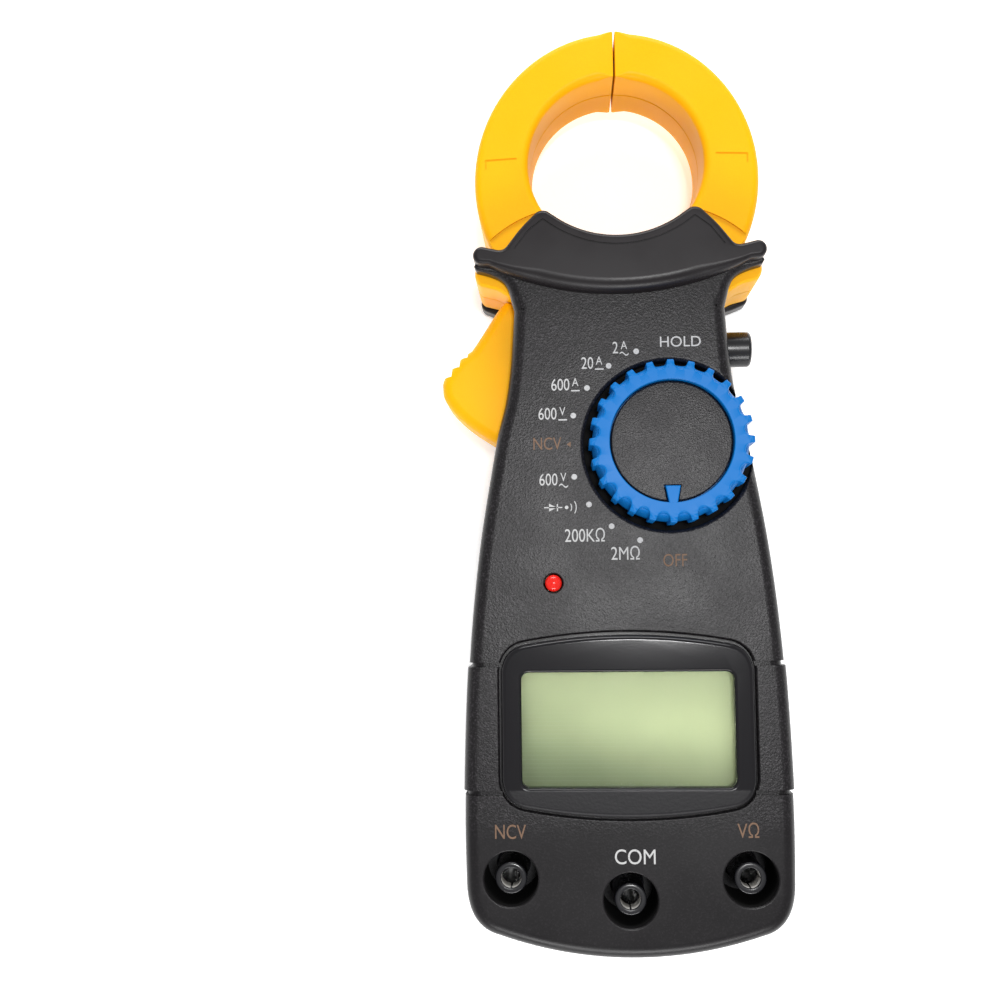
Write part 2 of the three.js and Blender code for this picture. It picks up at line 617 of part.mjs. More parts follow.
function trigger() {
  const lever = roundedSlab(triggerOutline(), TRIGGER.z0, TRIGGER.z1, TRIGGER.edge);
  const jawSpace = slab(inset(leftJaw, -GAP), 0, FAR);
  const tongue = leftHanded(tongueRoom(-0.2));
  const arm = triggerArm(0);
  const outside = leftHanded(hub(0, FAR, PIVOT.hubRadius + GAP));
  const body = joined(cut(lever, jawSpace, outside), tongue, cut(arm, jawSpace));
  return cut(body, ...triggerNotches(), pivotHole(0, FAR));
}

// The moving jaw's hub is slotted for the trigger's tongue.
function movingJawShell(shell) {
  return cut(leftHanded(shell), leftHanded(tongueRoom(0.1)), triggerArm(GAP));
}

// ---------------------------------------------------------------- dial, drawn about its own axis

function dialKnob() {
  const { ringRadius, floor, top } = DIAL;
  const shaft = DIAL_SHAFT.radius;
  const z0 = floor + GAP;
  const seatRadius = DIAL_CAP.radius + GAP;
  const seatZ = DIAL_CAP.z0 - GAP;
  const profile = [
    [0, DIAL_SHAFT.z0],
    [shaft, DIAL_SHAFT.z0],
    [shaft, z0],
    [ringRadius, z0],
    [ringRadius, top - 0.8],
    [ringRadius - 0.7, top],
    [seatRadius, top],
    [seatRadius, seatZ],
    [0, seatZ],
  ];
  const { count, radius, width } = DIAL_TEETH;
  const rib = box(ringRadius - 1, radius, -width / 2, width / 2, z0, top - 0.9);
  const teeth = Array.from({ length: count }, (_, i) => rib.rotate([0, 0, (360 / count) * i]));
  return joined(turned(profile, 48), ...teeth, pointer(0, seatZ - 0.6, top - 0.2));
}

function pointer(grow, z0, z1) {
  const { inner, outer, innerWidth, outerWidth } = POINTER;
  const wedge = [
    point(-innerWidth / 2 - grow, -inner + grow),
    point(-outerWidth / 2 - grow, -outer),
    point(outerWidth / 2 + grow, -outer),
    point(innerWidth / 2 + grow, -inner + grow),
  ];
  return slab(wedge, z0, z1);
}

function dialCap() {
  const { radius, z0, z1, edge } = DIAL_CAP;
  const disc = turned([[0, z0], [radius, z0], [radius, z1 - edge], [radius - edge, z1], [0, z1]], 48);
  return cut(disc, pointer(GAP, 0, FAR));
}

function switchRotor() {
  const disc = tube(ROTOR.radius, ROTOR.bore, ROTOR.z0, ROTOR.z1, 28);
  const pockets = [1, -1].map((side) => rod(side * DETENT.x, 0, DETENT.z - 0.95, FAR, DETENT.pocket, 10));
  return cut(disc, ...pockets);
}

// Three sprung fingers on a ring, which run over the board's tracks.
function wiperContacts() {
  const { radius, reach, halfWidth, z0, z1 } = WIPER;
  const finger = box(radius - 1, reach, -halfWidth, halfWidth, z0, z1 - 0.1);
  const fingers = [0, 120, 240].map((angle) => finger.rotate([0, 0, angle]));
  return joined(tube(radius, ROTOR.bore, z0, z1, 20), ...fingers);
}

// ---------------------------------------------------------------- electronics

function mainBoard() {
  const { z0, z1, bottom, top, notchX, notchY } = BOARD;
  return cut(
    slab(inset(outline, BOARD.inset), z0, z1),
    box(-FAR, FAR, -FAR, bottom, 0, FAR),
    box(-FAR, FAR, top, FAR, 0, FAR),
    box(-FAR, notchX, notchY, FAR, 0, FAR),
    box(17.4, FAR, 23, FAR, 0, FAR),
    ...JACKS.map(({ x, y }) => rod(x, y, 0, FAR, SHROUD.radius + SHROUD.wall + GAP, 24)),
    ...CASE_SCREWS.map(([x, y]) => rod(x, y, 0, FAR, SCREW.postRadius + GAP, 16)),
    rod(DIAL.x, DIAL.y, 0, FAR, DIAL_SHAFT.hole + 0.1, 20),
  );
}

// The insulating post that a plug's shroud slides over, with the flange that closes the socket.
function jackPost() {
  const { postRadius, postTop, postBore, flangeRadius, base, flangeTop } = JACK;
  const profile = [
    [postBore, base],
    [flangeRadius, base],
    [flangeRadius, flangeTop],
    [postRadius, flangeTop],
    [postRadius, postTop - 0.4],
    [postRadius - 0.4, postTop],
    [postBore, postTop],
    [postBore, base],
  ];
  return turned(profile, 20);
}

// The plug's contact: a closed tube with a lug to the board. The lug leaves towards +Y.
function jackContact() {
  const { radius, bore, z0, z1, end, lugY } = CONTACT;
  const sleeve = turned([[0, z0], [radius, z0], [radius, z1], [bore, z1], [bore, z0 + end], [0, z0 + end]], 16);
  const foot = box(-1, 1, 0, lugY, z0, z0 + 0.8);
  const rise = box(-1, 1, lugY - 0.6, lugY, z0, BOARD.z0 - GAP);
  return joined(sleeve, foot, rise);
}

// The stem's outline is drawn in z and y, and turning it about Y lays its length along X.
function holdButton() {
  const { x0, x1, y0, y1, z0, z1, flange, edge } = BUTTON;
  const lying = roundedSlab(roundedRectangle(-z1, -z0, y0, y1, edge, 2), x0, x1, edge);
  return joined(lying.rotate([0, 90, 0]), box(x0, x0 + flange, y0 - 1, y1 + 1, z0 - 0.4, z1 + 0.4));
}

function pushSwitch() {
  return joined(
    box(11.4, 16.9, 24.6, 28, BOARD.z1 + GAP, 23.2),
    box(11.4, 16.9, 27.9, 30.1, 17, 23.2),
    box(16.8, 18.5, 28, 30, 18.6, 21.4),
  );
}

const buzzer = () => rod(0, 0, BUZZER.z0, BUZZER.z1, BUZZER.radius, 28);

// Drawn along +Y from its flat end.
function cell() {
  const { radius, length, tipRadius, tip } = CELL;
  const shoulder = length - tip;
  const tipProfile = [[radius, shoulder], [tipRadius, shoulder], [tipRadius, length], [0, length]];
  const profile = [[0, 0], [radius, 0], ...tipProfile];
  return turned(profile, 24).rotate([-90, 0, 0]);
}

// A screw standing head down, with a shallow recess in its head.
function screw({ headZ0, headZ1, headRadius, shankRadius }, length) {
  const profile = [
    [0, headZ0 + 0.8],
    [0.9, headZ0],
    [headRadius - 0.4, headZ0],
    [headRadius, headZ0 + 0.5],
    [headRadius, headZ1],
    [0, headZ1],
  ];
  return joined(turned(profile, 12), rod(0, 0, headZ1 - 0.1, headZ1 + length, shankRadius, 8));
}

// ---------------------------------------------------------------- battery door

function batteryDoor() {
  const { count, y, pitch, halfWidth, depth } = DOOR_GRIPS;
  const grips = Array.from({ length: count }, (_, i) => {
    return box(-halfWidth, halfWidth, y - pitch * i - 1, y - pitch * i, -1, depth);
  });
  const headHole = rod(DOOR_SCREW.x, DOOR_SCREW.y, -1, 1.1, SCREW.headRadius + 0.2, 16);
  const screwHole = shankHole([DOOR_SCREW.x, DOOR_SCREW.y], 3);
  return cut(slab(doorOutline(0), 0, DOOR.thickness), ...grips, headHole, screwHole);
}

const doorScrew = () => screw({ ...SCREW, ...DOOR_SCREW }, DOOR_SCREW.length);

// ---------------------------------------------------------------- assembly

const meter = new THREE.Group();

function add(parent, name, solid, material, place = [0, 0, 0]) {
  const mesh = new THREE.Mesh(geometryFrom(solid), material);
  mesh.name = name;
  mesh.position.set(...place);
  parent.add(mesh);
}

function group(x = 0, y = 0, z = 0) {
  const made = new THREE.Group();
  made.position.set(x, y, z);
  meter.add(made);
  return made;
}

function addCase() {
  add(meter, "front_cover", frontCover(), casePlastic);
  add(meter, "rear_cover", rearCover(), casePlastic);
  add(meter, "hand_guard", handGuard(), guardPlastic);
  CASE_SCREWS.forEach(([x, y], i) => {
    add(meter, `case_screw_${i + 1}`, screw(SCREW, SCREW.length), steel, [x, y, 0]);
  });
  add(meter, "battery_door", batteryDoor(), casePlastic);
  add(meter, "door_screw", doorScrew(), steel, [DOOR_SCREW.x, DOOR_SCREW.y, 0]);
}

function addDisplay() {
  add(meter, "display_bezel", displayBezel(), casePlastic);
  add(meter, "display_lens", displayLens(), clear);
  add(meter, "display_glass", displayGlass(), lcdGreen);
  add(meter, "display_holder", displayHolder(), whitePlastic);
  add(meter, "display_connector", displayConnector(), greyRubber);
}

function addJaws() {
  add(meter, "fixed_jaw_front_shell", frontJawShell(), jawPlastic);
  add(meter, "fixed_jaw_rear_shell", rearJawShell(), jawPlastic);
  add(meter, "fixed_jaw_core", jawCore(), ironCore);
  add(meter, "fixed_jaw_coil", jawCoil(), copper);
  add(meter, "moving_jaw_front_shell", movingJawShell(frontJawShell()), jawPlastic);
  add(meter, "moving_jaw_rear_shell", movingJawShell(rearJawShell()), jawPlastic);
  add(meter, "moving_jaw_core", leftHanded(jawCore()), ironCore);
  add(meter, "moving_jaw_coil", leftHanded(jawCoil()), copper);
  add(meter, "trigger", trigger(), jawPlastic);
  add(meter, "jaw_pivot_pin", rod(-PIVOT.x, PIVOT.y, 1.8, 27.7, PIVOT.pinRadius, 20), steel);
  const { x0, x1, y, z } = RETURN_SPRING;
  const coil = spring(RETURN_SPRING, 0, x1 - x0).rotate([0, 90, 0]);
  add(meter, "trigger_spring", coil, steel, [x0, y, z]);
}

function addDial() {
  const dial = group(DIAL.x, DIAL.y);
  add(dial, "dial_knob", dialKnob(), dialPlastic);
  add(dial, "dial_cap", dialCap(), casePlastic);
  add(dial, "switch_rotor", switchRotor(), whitePlastic);
  add(dial, "wiper_contacts", wiperContacts(), brass);
  [1, -1].forEach((side, i) => {
    const ball = solidFrom(new THREE.SphereGeometry(DETENT.radius, 10, 8));
    add(dial, `detent_ball_${i + 1}`, ball, steel, [DETENT.x * side, 0, DETENT.z]);
  });
}

function addElectronics() {
  add(meter, "main_board", mainBoard(), boardGreen);
  JACKS.forEach(({ name, x, y }) => {
    add(meter, `jack_post_${name}`, jackPost(), blackPlastic, [x, y, 0]);
    add(meter, `jack_contact_${name}`, jackContact(), nickel, [x, y, 0]);
  });
  add(meter, "hold_button", holdButton(), blackPlastic);
  add(meter, "hold_switch", pushSwitch(), blackPlastic);
  add(meter, "buzzer", buzzer(), brass, [BUZZER.x, BUZZER.y, 0]);
  const { radius, top, z0 } = LED;
  const led = turned([[0, z0], [radius, z0], [radius, top - 1.2], [1.1, top - 0.3], [0, top]], 16);
  add(meter, "indicator_led", led, redLens, [LED.x, LED.y, 0]);
}

function addBatteries() {
  const { spacing, z, y0, length, radius } = CELL;
  const plateY = y0 + length + GAP;
  [1, -1].forEach((side, i) => {
    const x = side * spacing;
    add(meter, `battery_${i + 1}`, cell(), cellJacket, [x, y0, z]);
    const coil = spring(CELL_SPRING, 0, CELL_SPRING.length).rotate([-90, 0, 0]);
    add(meter, `battery_spring_${i + 1}`, coil, steel, [x, y0 - GAP - CELL_SPRING.length, z]);
    const plate = box(x - 4, x + 4, plateY, plateY + 0.6, z - radius + 1, z + radius - 1);
    add(meter, `battery_plate_${i + 1}`, plate, steel);
  });
}

addCase();
addDisplay();
addJaws();
addDial();
addElectronics();
addBatteries();

export default meter;
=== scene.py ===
import json
import math

import bmesh
import bpy
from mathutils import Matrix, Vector


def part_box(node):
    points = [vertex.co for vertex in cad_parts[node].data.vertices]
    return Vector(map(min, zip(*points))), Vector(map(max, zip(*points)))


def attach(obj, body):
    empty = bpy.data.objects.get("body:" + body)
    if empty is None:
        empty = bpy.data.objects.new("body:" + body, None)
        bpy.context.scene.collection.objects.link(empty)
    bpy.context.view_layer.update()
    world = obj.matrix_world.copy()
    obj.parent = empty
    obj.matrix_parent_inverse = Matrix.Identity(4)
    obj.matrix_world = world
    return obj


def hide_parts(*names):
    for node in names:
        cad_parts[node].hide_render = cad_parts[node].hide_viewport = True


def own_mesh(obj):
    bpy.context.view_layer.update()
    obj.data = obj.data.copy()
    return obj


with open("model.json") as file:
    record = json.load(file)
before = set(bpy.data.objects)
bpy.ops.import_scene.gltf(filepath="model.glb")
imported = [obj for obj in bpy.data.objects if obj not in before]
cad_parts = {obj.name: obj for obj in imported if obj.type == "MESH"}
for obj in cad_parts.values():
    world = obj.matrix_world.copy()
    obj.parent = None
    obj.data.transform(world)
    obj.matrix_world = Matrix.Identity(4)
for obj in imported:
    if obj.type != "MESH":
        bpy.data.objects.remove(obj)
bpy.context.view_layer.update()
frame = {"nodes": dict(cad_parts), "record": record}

# The looks of a hand-held clamp meter. Lengths in this script are millimetres in the CAD frame, and
# MM turns them into Blender's metres as each mesh is made.
MM = 0.001


def box_mm(node):
    low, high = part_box(node)
    return [c / MM for c in low], [c / MM for c in high]


def middle_mm(node):
    return [(a + b) / 2 for a, b in zip(*box_mm(node))]


def joint_place(name):
    joint = next(j for j in frame["record"]["behaviour"]["joints"] if j["name"] == name)
    return [c / MM for c in joint["pos_m"]]


GAP = 0.3  # between neighbouring pieces
SEAM = 0.12  # between the guard and the cover it lies on
WALL = 2.0  # of the case halves
FACE = box_mm("front_cover")[1][2]
PARTING = box_mm("rear_cover")[0][2] + 15.0  # where the case halves meet
GUARD_TOP = box_mm("hand_guard")[1][2]
JAW_Z0 = box_mm("moving_jaw_rear_shell")[0][2]
JAW_Z1 = box_mm("moving_jaw_front_shell")[1][2]
JAW_MIDDLE = (JAW_Z0 + JAW_Z1) / 2
DIAL_X, DIAL_Y, _ = joint_place("dial_turn")
PIVOT_X, PIVOT_Y, _ = joint_place("jaw_hinge")

CASE_SIDE = [
    (22.9, 52), (23, 46.5), (23.4, 38), (24.2, 27), (25.4, 18.8), (27.2, 11.5), (29.2, 0.6), (31.4, -13),
    (33.2, -29), (34.4, -46.5), (35.1, -70), (34.9, -85.5),
]
CASE_TOP, CASE_BOTTOM, CASE_BOTTOM_RADIUS = 46.5, -100.7, 87.0
CASE_CORNER_CONTROL, CASE_CORNER_X = (34.6, -94.4), 28.0
CASE_EDGE = 3.0
SHOULDER = [(23.0, 38), (23.9, 41.7), (24.6, 44.2), (25.8, 46.0), (28.1, 47.3), (31.6, 48.4)]
SHOULDER_BACK = [(32.1, 49.3), (31.4, 50.3), (26, 49.5), (18, 46.5), (18, 38)]

GUARD_Z0, GUARD_EAR_X, GUARD_EAR_RADIUS = 26.8, 32.1, 1.95
FRONT_GUARD = (42.1, 65.0, 50.8)  # the lower edge's middle and radius, and the ear's middle
REAR_GUARD = (40.0, 98.0, 47.0)
GUARD_ARC_Y, GUARD_ARC_RADIUS = 78.3, 23.6
GUARD_PEAK = (16.6, 58.0, 2.6)
THROAT_HALF_WIDTH, THROAT_THICKNESS = 12.0, 1.7
REAR_GUARD_TOP = 5.7

JAW_CENTRE_Y, JAW_HALF_WIDTH, JAW_HALF_HEIGHT, JAW_EDGE = 69.8, 32.0, 34.2, 1.7
JAW_ROOT = [
    (16, 40.4), (23, 42.3), (27, 44.6), (29.5, 45.4), (31.2, 46.0), (32.1, 47.8), (31.9, 50), (30.4, 52),
]
JAW_ROOT_Y, JAW_SPLIT, JAW_HOLLOW_RADIUS = 39.5, 0.2, 27.6
JAW_ROOM_Y = (34.6, 39)  # the case is open above this, on the moving and on the fixed jaw's side
JAW_HOLE_BACK, JAW_HOLE_FRONT = (74.5, 19.3), (73.5, 19.8)  # centre and radius: the hole widens forwards
JAW_STEP_Z, JAW_STEP_RADIUS = 26.5, 27.3  # under the guard the face is lower, round the pivot
TRIGGER_BACK = [
    (-24.5, 9.2), (-28.5, 10.9), (-34, 14.6), (-37.7, 18.1), (-39.6, 20.9), (-40.1, 23), (-39.7, 25.9),
    (-36, 30.3), (-33.4, 32.2),
]
TRIGGER_TOP = [(-32.4, 33.6), (-30.1, 37.1), (-27, 41.8), (-24, 44.6)]
TRIGGER_SLOT = (-19, 3.2, 47.5)  # how deep it reaches into the case, and its ends along the case
TRIGGER_STEPS, TRIGGER_STEP_FIRST, TRIGGER_STEP_RUN = 3, (-39.7, 25.9), (1.85, 2.2)
TRIGGER_INSIDE = [(-18.5, 38.5), (-15.6, 33), (-19, 29), (-21.8, 24), (-23.4, 12)]
CORE_ROOT = [(14, 43.8), (22, 45.6), (26.6, 48.6), (27.6, 54)]
HUB_RADIUS, PIN_RADIUS = 5.5, 2.0

WELL_RADIUS, WELL_FLOOR, WELL_WALL = 18.6, 26.5, 1.4
DIAL_RADIUS, DIAL_TOP, CAP_RADIUS, STEM_RADIUS, FLUTES = 17.5, 37.0, 12.9, 3.9, 24
SCOOP_Z = 31.5  # the scoops between the dial's teeth start here and deepen towards its top
DOT_RADIUS, DOT_STEP, DOT_FIRST = 21.8, 18, 108

WINDOW = (-22.6, 22.6, -64.6, -40.4)
BEZEL_HALF_WIDTH, BEZEL_Y0, BEZEL_Y1, BEZEL_Z0, BEZEL_Z1 = 26.85, -70.95, -32.5, 28.6, 32.0
BEZEL_ARCH, BEZEL_ARCH_X, BEZEL_CORNER = 122.0, 22.0, 5.6
STRIP_EDGE = (-65.6, -64.8)  # where the bezel turns from grained to glossy
WINDOW_HOLE = (-23.5, 23.5, -66.2, -38.4)  # in the cover, under the bezel
BELT_Y0, BELT_Y1 = -66.0, -38.8
SHROUD_RADIUS, SHROUD_WALL, POST_RADIUS, LIP_RADIUS, BORE_RADIUS = 5.75, 1.3, 3.4, 2.15, 2.05
BUTTON_RADIUS = 3.95
BATTERY_BAY, BAY_WALL = (-12.6, 12.6, -73, -21, 13.2), 1.4  # its sides and its height

SOCKETS = [(name, middle_mm("jack_post_" + name)) for name in ("left", "common", "right")]
INK = FACE + 0.01, FACE + 0.05  # the print's underside and top


# -------- outlines

def arc(x, y, radius, start, end, steps, tall=None):
    turns = [math.radians(start + (end - start) * i / steps) for i in range(steps + 1)]
    return [(x + radius * math.cos(a), y + (tall or radius) * math.sin(a)) for a in turns]


def spline(points, steps):
    """Points on a uniform Catmull-Rom curve through the given ones."""
    ends = [points[0]] + list(points) + [points[-1]]
    made = []
    for i in range(steps + 1):
        s = min(i / steps * (len(points) - 1), len(points) - 1.000001)
        k, t = int(s), s - int(s)
        made.append(tuple(
            0.5 * (2 * b + (c - a) * t + (2 * a - 5 * b + 4 * c - d) * t * t
                   + (3 * b - a - 3 * c + d) * t ** 3)
            for a, b, c, d in zip(*ends[k : k + 4])
        ))
    return made


def bezier(controls, steps):
    def at(points, t):
        while len(points) > 1:
            points = [tuple(a + (b - a) * t for a, b in zip(p, q)) for p, q in zip(points, points[1:])]
        return points[0]
    return [at(controls, i / steps) for i in range(steps + 1)]


def mirrored(points):
    return [(-x, y) for x, y in reversed(points)]


def inset(points, distance):
    """A counter-clockwise outline moved inwards; distance is one number or one for each point."""
    n = len(points)
    far = distance if isinstance(distance, list) else [distance] * n
    made = []
    for i, (x, y) in enumerate(points):
        ax, ay = x - points[i - 1][0], y - points[i - 1][1]
        bx, by = points[(i + 1) % n][0] - x, points[(i + 1) % n][1] - y
        la, lb = math.hypot(ax, ay) or 1, math.hypot(bx, by) or 1
        nx, ny = -ay / la - by / lb, ax / la + bx / lb
        ln = math.hypot(nx, ny) or 1
        nx, ny = nx / ln, ny / ln
        mitre = max(0.5, nx * -ay / la + ny * ax / la)
        made.append((x + nx * far[i] / mitre, y + ny * far[i] / mitre))
    return made


def softened(points, radius, steps=5, closed=True):
    """An outline with each corner rounded; radius is one number or one for each corner."""
    n = len(points)
    radii = radius if isinstance(radius, list) else [radius] * n
    made = []
    for i, p in enumerate(points):
        if (not closed and i in (0, n - 1)) or radii[i] == 0:
            made.append(p)
            continue
        a, b = points[i - 1], points[(i + 1) % n]
        la, lb = math.dist(p, a), math.dist(p, b)
        reach = min(radii[i], 0.48 * la, 0.48 * lb)
        start = tuple(u + (v - u) * reach / la for u, v in zip(p, a))
        end = tuple(u + (v - u) * reach / lb for u, v in zip(p, b))
        made += bezier([start, p, end], steps)
    return made


def rectangle(x0, x1, y0, y1, radius, steps=6):
    corners = [(x1 - radius, y0 + radius, -90), (x1 - radius, y1 - radius, 0)]
    corners += [(x0 + radius, y1 - radius, 90), (x0 + radius, y0 + radius, 180)]
    return [p for x, y, a in corners for p in arc(x, y, radius, a, a + 90, steps)]


def case_outline():
    centre_y = CASE_BOTTOM + CASE_BOTTOM_RADIUS
    reach = math.degrees(math.asin(CASE_CORNER_X / CASE_BOTTOM_RADIUS))
    base = arc(0, centre_y, CASE_BOTTOM_RADIUS, -90, -90 + reach, 14)
    side = spline(CASE_SIDE[::-1], 90)
    corner = bezier([base[-1], CASE_CORNER_CONTROL, side[0]], 16)
    half = base + corner[1:] + side[1:]
    return half + mirrored(half)[:-1]


def guard_outline(lower_y, lower_radius, ear_y):
    """The outline, and how far each point is along the lower edge: 1 at its middle, 0 on the upper edge."""
    sweep = math.degrees(math.asin(28.6 / lower_radius))
    lower = arc(0, lower_y + lower_radius, lower_radius, -90, -90 + sweep, 30)
    ear = arc(GUARD_EAR_X - GUARD_EAR_RADIUS, ear_y, GUARD_EAR_RADIUS, -75, 95, 12)
    x, y, radius = GUARD_PEAK
    start = (x + radius * 0.77, y + radius * 0.64)
    corners = [ear[-1], (28.2, 52.3), (25.4, 51.7), (21.5, 56.8), start]
    slope = softened(corners, [0, 1, 1.4, 2, 0], 6, closed=False)
    peak = arc(x, y, radius, 40, 112, 12)
    reach = math.degrees(math.asin(14 / GUARD_ARC_RADIUS))
    hollow = arc(0, GUARD_ARC_Y, GUARD_ARC_RADIUS, -90 + reach, -90, 24)
    half = lower + ear + slope[1:-1] + peak + hollow
    low = [1.0] * len(lower) + [0.5] * len(ear) + [0.0] * (len(half) - len(lower) - len(ear))
    return half + mirrored(half)[1:-1], low + low[::-1][1:-1]


def bezel_outline():
    w, reach = BEZEL_HALF_WIDTH, math.degrees(math.asin(BEZEL_ARCH_X / BEZEL_ARCH))
    lower = arc(0, BEZEL_Y0 + BEZEL_ARCH, BEZEL_ARCH, -90, -90 + reach, 20)
    x, y = lower[-1]
    lower += bezier([(x, y), (w - 0.6, y + 0.9), (w, y + BEZEL_CORNER)], 14)[1:]
    upper = arc(0, BEZEL_Y1 - BEZEL_ARCH, BEZEL_ARCH, 90 - reach, 90, 20)
    x, y = upper[0]
    upper = bezier([(w, y - BEZEL_CORNER), (w - 0.6, y - 0.9), (x, y)], 14)[:-1] + upper
    half = lower + upper
    return half + mirrored(half)[1:-1]


def jaw_outline(z):
    """The right jaw at a height: the hole through the jaws widens towards the front."""
    t = (z - JAW_Z0) / (JAW_Z1 - JAW_Z0)
    hole_y, hole_radius = (b + (f - b) * t for b, f in zip(JAW_HOLE_BACK, JAW_HOLE_FRONT))
    corner, split = 0.3, JAW_SPLIT
    top = JAW_CENTRE_Y + JAW_HALF_HEIGHT
    bottom = hole_y + hole_radius
    outer = arc(0, JAW_CENTRE_Y, JAW_HALF_WIDTH, -29, 89, 80, JAW_HALF_HEIGHT)
    return (
        [(split, JAW_ROOT_Y)]
        + spline(JAW_ROOT + outer[:2], 44)[:-1]
        + outer[1:]
        + arc(split + corner, top - corner - 0.02, corner, 90, 180, 4)
        + arc(split + 0.3, bottom + 0.3, 0.3, 180, 265, 3)
        + arc(0, hole_y, hole_radius, 87.5, -38, 64)
        + arc(0, GUARD_ARC_Y, JAW_HOLLOW_RADIUS, -62, -89.6, 10)
    )


def core_outline():
    return (
        [(JAW_SPLIT, 43)] + CORE_ROOT + arc(0, JAW_CENTRE_Y, 28.4, -18, 89.6, 30, 30.6)
        + arc(0, 73.7, 23.2, 89.5, -42, 30) + [(13.4, 49.6), (JAW_SPLIT, 47.4)]
    )


# -------- meshes

def linked(name, data):
    made = bpy.data.objects.new(name, data)
    bpy.context.collection.objects.link(made)
    return made


def new_object(vertices, faces, name="shape"):
    mesh = bpy.data.meshes.new(name)
    mesh.from_pydata([[c * MM for c in place] for place in vertices], [], faces)
    return linked(name, mesh)


def loft(loops, closed=False):
    """A solid through loops of equal length, counter-clockwise as seen from above and going up."""
    n = len(loops[0])
    vertices = [p for loop in loops for p in loop]
    faces = []
    for level in range(len(loops) if closed else len(loops) - 1):
        a, b = level * n, (level + 1) % len(loops) * n
        faces += [(a + i, a + (i + 1) % n, b + (i + 1) % n, b + i) for i in range(n)]
    if not closed:
        faces.append(tuple(reversed(range(n))))
        faces.append(tuple(range(len(vertices) - n, len(vertices))))
    return new_object(vertices, faces)


def plate(outline, z0, z1, top=0.0, bottom=0.0, steps=6):
    """A slab with quarter-round edges. An outline may be a function of z, and a radius a list."""
    shape = outline if callable(outline) else lambda z: outline
    n = len(shape(z0))
    loops = []

    def ring(z, distances, lifts):
        flat = inset(shape(z), distances)
        loops.append([(x, y, z + lift) for (x, y), lift in zip(flat, lifts)])

    for radius, z, sign in ((bottom, z0, 1), (top, z1, -1)):
        radii = radius if isinstance(radius, list) else [radius] * n
        if max(radii) == 0:
            loops.append([(x, y, z) for x, y in shape(z)])
            continue
        turns = [math.pi / 2 * k / steps for k in range(steps + 1)]
        for a in turns if sign > 0 else reversed(turns):
            ring(z, [r * (1 - math.sin(a)) for r in radii], [sign * r * (1 - math.cos(a)) for r in radii])
    return loft(loops)


def lathe(profile, x=0.0, y=0.0, steps=96):
    """A profile of (radius, z) turned about a line along Z, from the axis back to the axis."""
    vertices, rings = [], []
    for radius, z in profile:
        count = 1 if radius < 1e-6 else steps
        rings.append((len(vertices), count))
        for i in range(count):
            a = 2 * math.pi * i / steps
            vertices.append((x + radius * math.cos(a), y + radius * math.sin(a), z))
    faces = []
    for (a, na), (b, nb) in zip(rings, rings[1:]):
        for i in range(steps):
            j = (i + 1) % steps
            low = (a + i, a + j) if na > 1 else (a,)
            high = (b + j, b + i) if nb > 1 else (b,)
            if len(low) + len(high) > 2:
                faces.append(low + high)
    return new_object(vertices, faces)


def rounded_rim(radius, top, edge, step):
    """The quarter round at the top of a profile, from its side to its top; step is in degrees."""
    turns = [math.radians(d) for d in range(step, 91, step)]
    return [(radius - edge + edge * math.cos(a), top - edge + edge * math.sin(a)) for a in turns]


def rod(x, y, z0, z1, radius, steps=48):
    return lathe([(0, z0), (radius, z0), (radius, z1), (0, z1)], x, y, steps)


def flared(x, y, z0, z1, radius, flare, steps=96):
    """A round cutter whose mouth opens in a quarter round, which leaves the hole a rounded lip."""
    turns = [math.radians(d) for d in range(0, 91, 15)]
    lip = [(radius + flare - flare * math.cos(a), z1 - flare + flare * math.sin(a)) for a in turns]
    return lathe([(0, z0), (radius, z0)] + lip + [(radius + flare, z1 + 9), (0, z1 + 9)], x, y, steps)


def flared_plate(outline, z0, z1, flare, steps=5):
    loops = [[(x, y, z0) for x, y in outline]]
    for k in range(steps + 1):
        a = math.pi / 2 * k / steps
        wider = inset(outline, -flare * (1 - math.cos(a)))
        loops.append([(x, y, z1 - flare + flare * math.sin(a)) for x, y in wider])
    loops.append([(x, y, z1 + 9) for x, y in inset(outline, -flare)])
    return loft(loops)


def block(x0, x1, y0, y1, z0, z1):
    return loft([[(x0, y0, z), (x1, y0, z), (x1, y1, z), (x0, y1, z)] for z in (z0, z1)])


def moved(made, change):
    for vertex in made.data.vertices:
        x, y, z = (c / MM for c in vertex.co)
        vertex.co = [c * MM for c in change(x, y, z)]
    return made


def turned_over(made, change):
    """A change that mirrors the mesh, with its faces turned out again."""
    moved(made, change)
    made.data.flip_normals()
    return made


def facing_out(made):
    work = bmesh.new()
    work.from_mesh(made.data)
    bmesh.ops.recalc_face_normals(work, faces=work.faces)
    work.to_mesh(made.data)
    work.free()
    return made


def bake(made):
    seen = bpy.context.evaluated_depsgraph_get()
    mesh = bpy.data.meshes.new_from_object(made.evaluated_get(seen))
    made.modifiers.clear()
    made.data = mesh
    return made


def combined(made, tools, operation):
    for tool in tools:
        step = made.modifiers.new("step", "BOOLEAN")
        step.operation = operation
        step.solver = "MANIFOLD"
        step.object = tool
    bake(made)
    for tool in tools:
        bpy.data.objects.remove(tool)
    return made


def cut(made, *tools):
    return combined(made, tools, "DIFFERENCE")


def joined(made, *tools):
    return combined(made, tools, "UNION")


def overlap(made, *tools):
    return combined(made, tools, "INTERSECT")


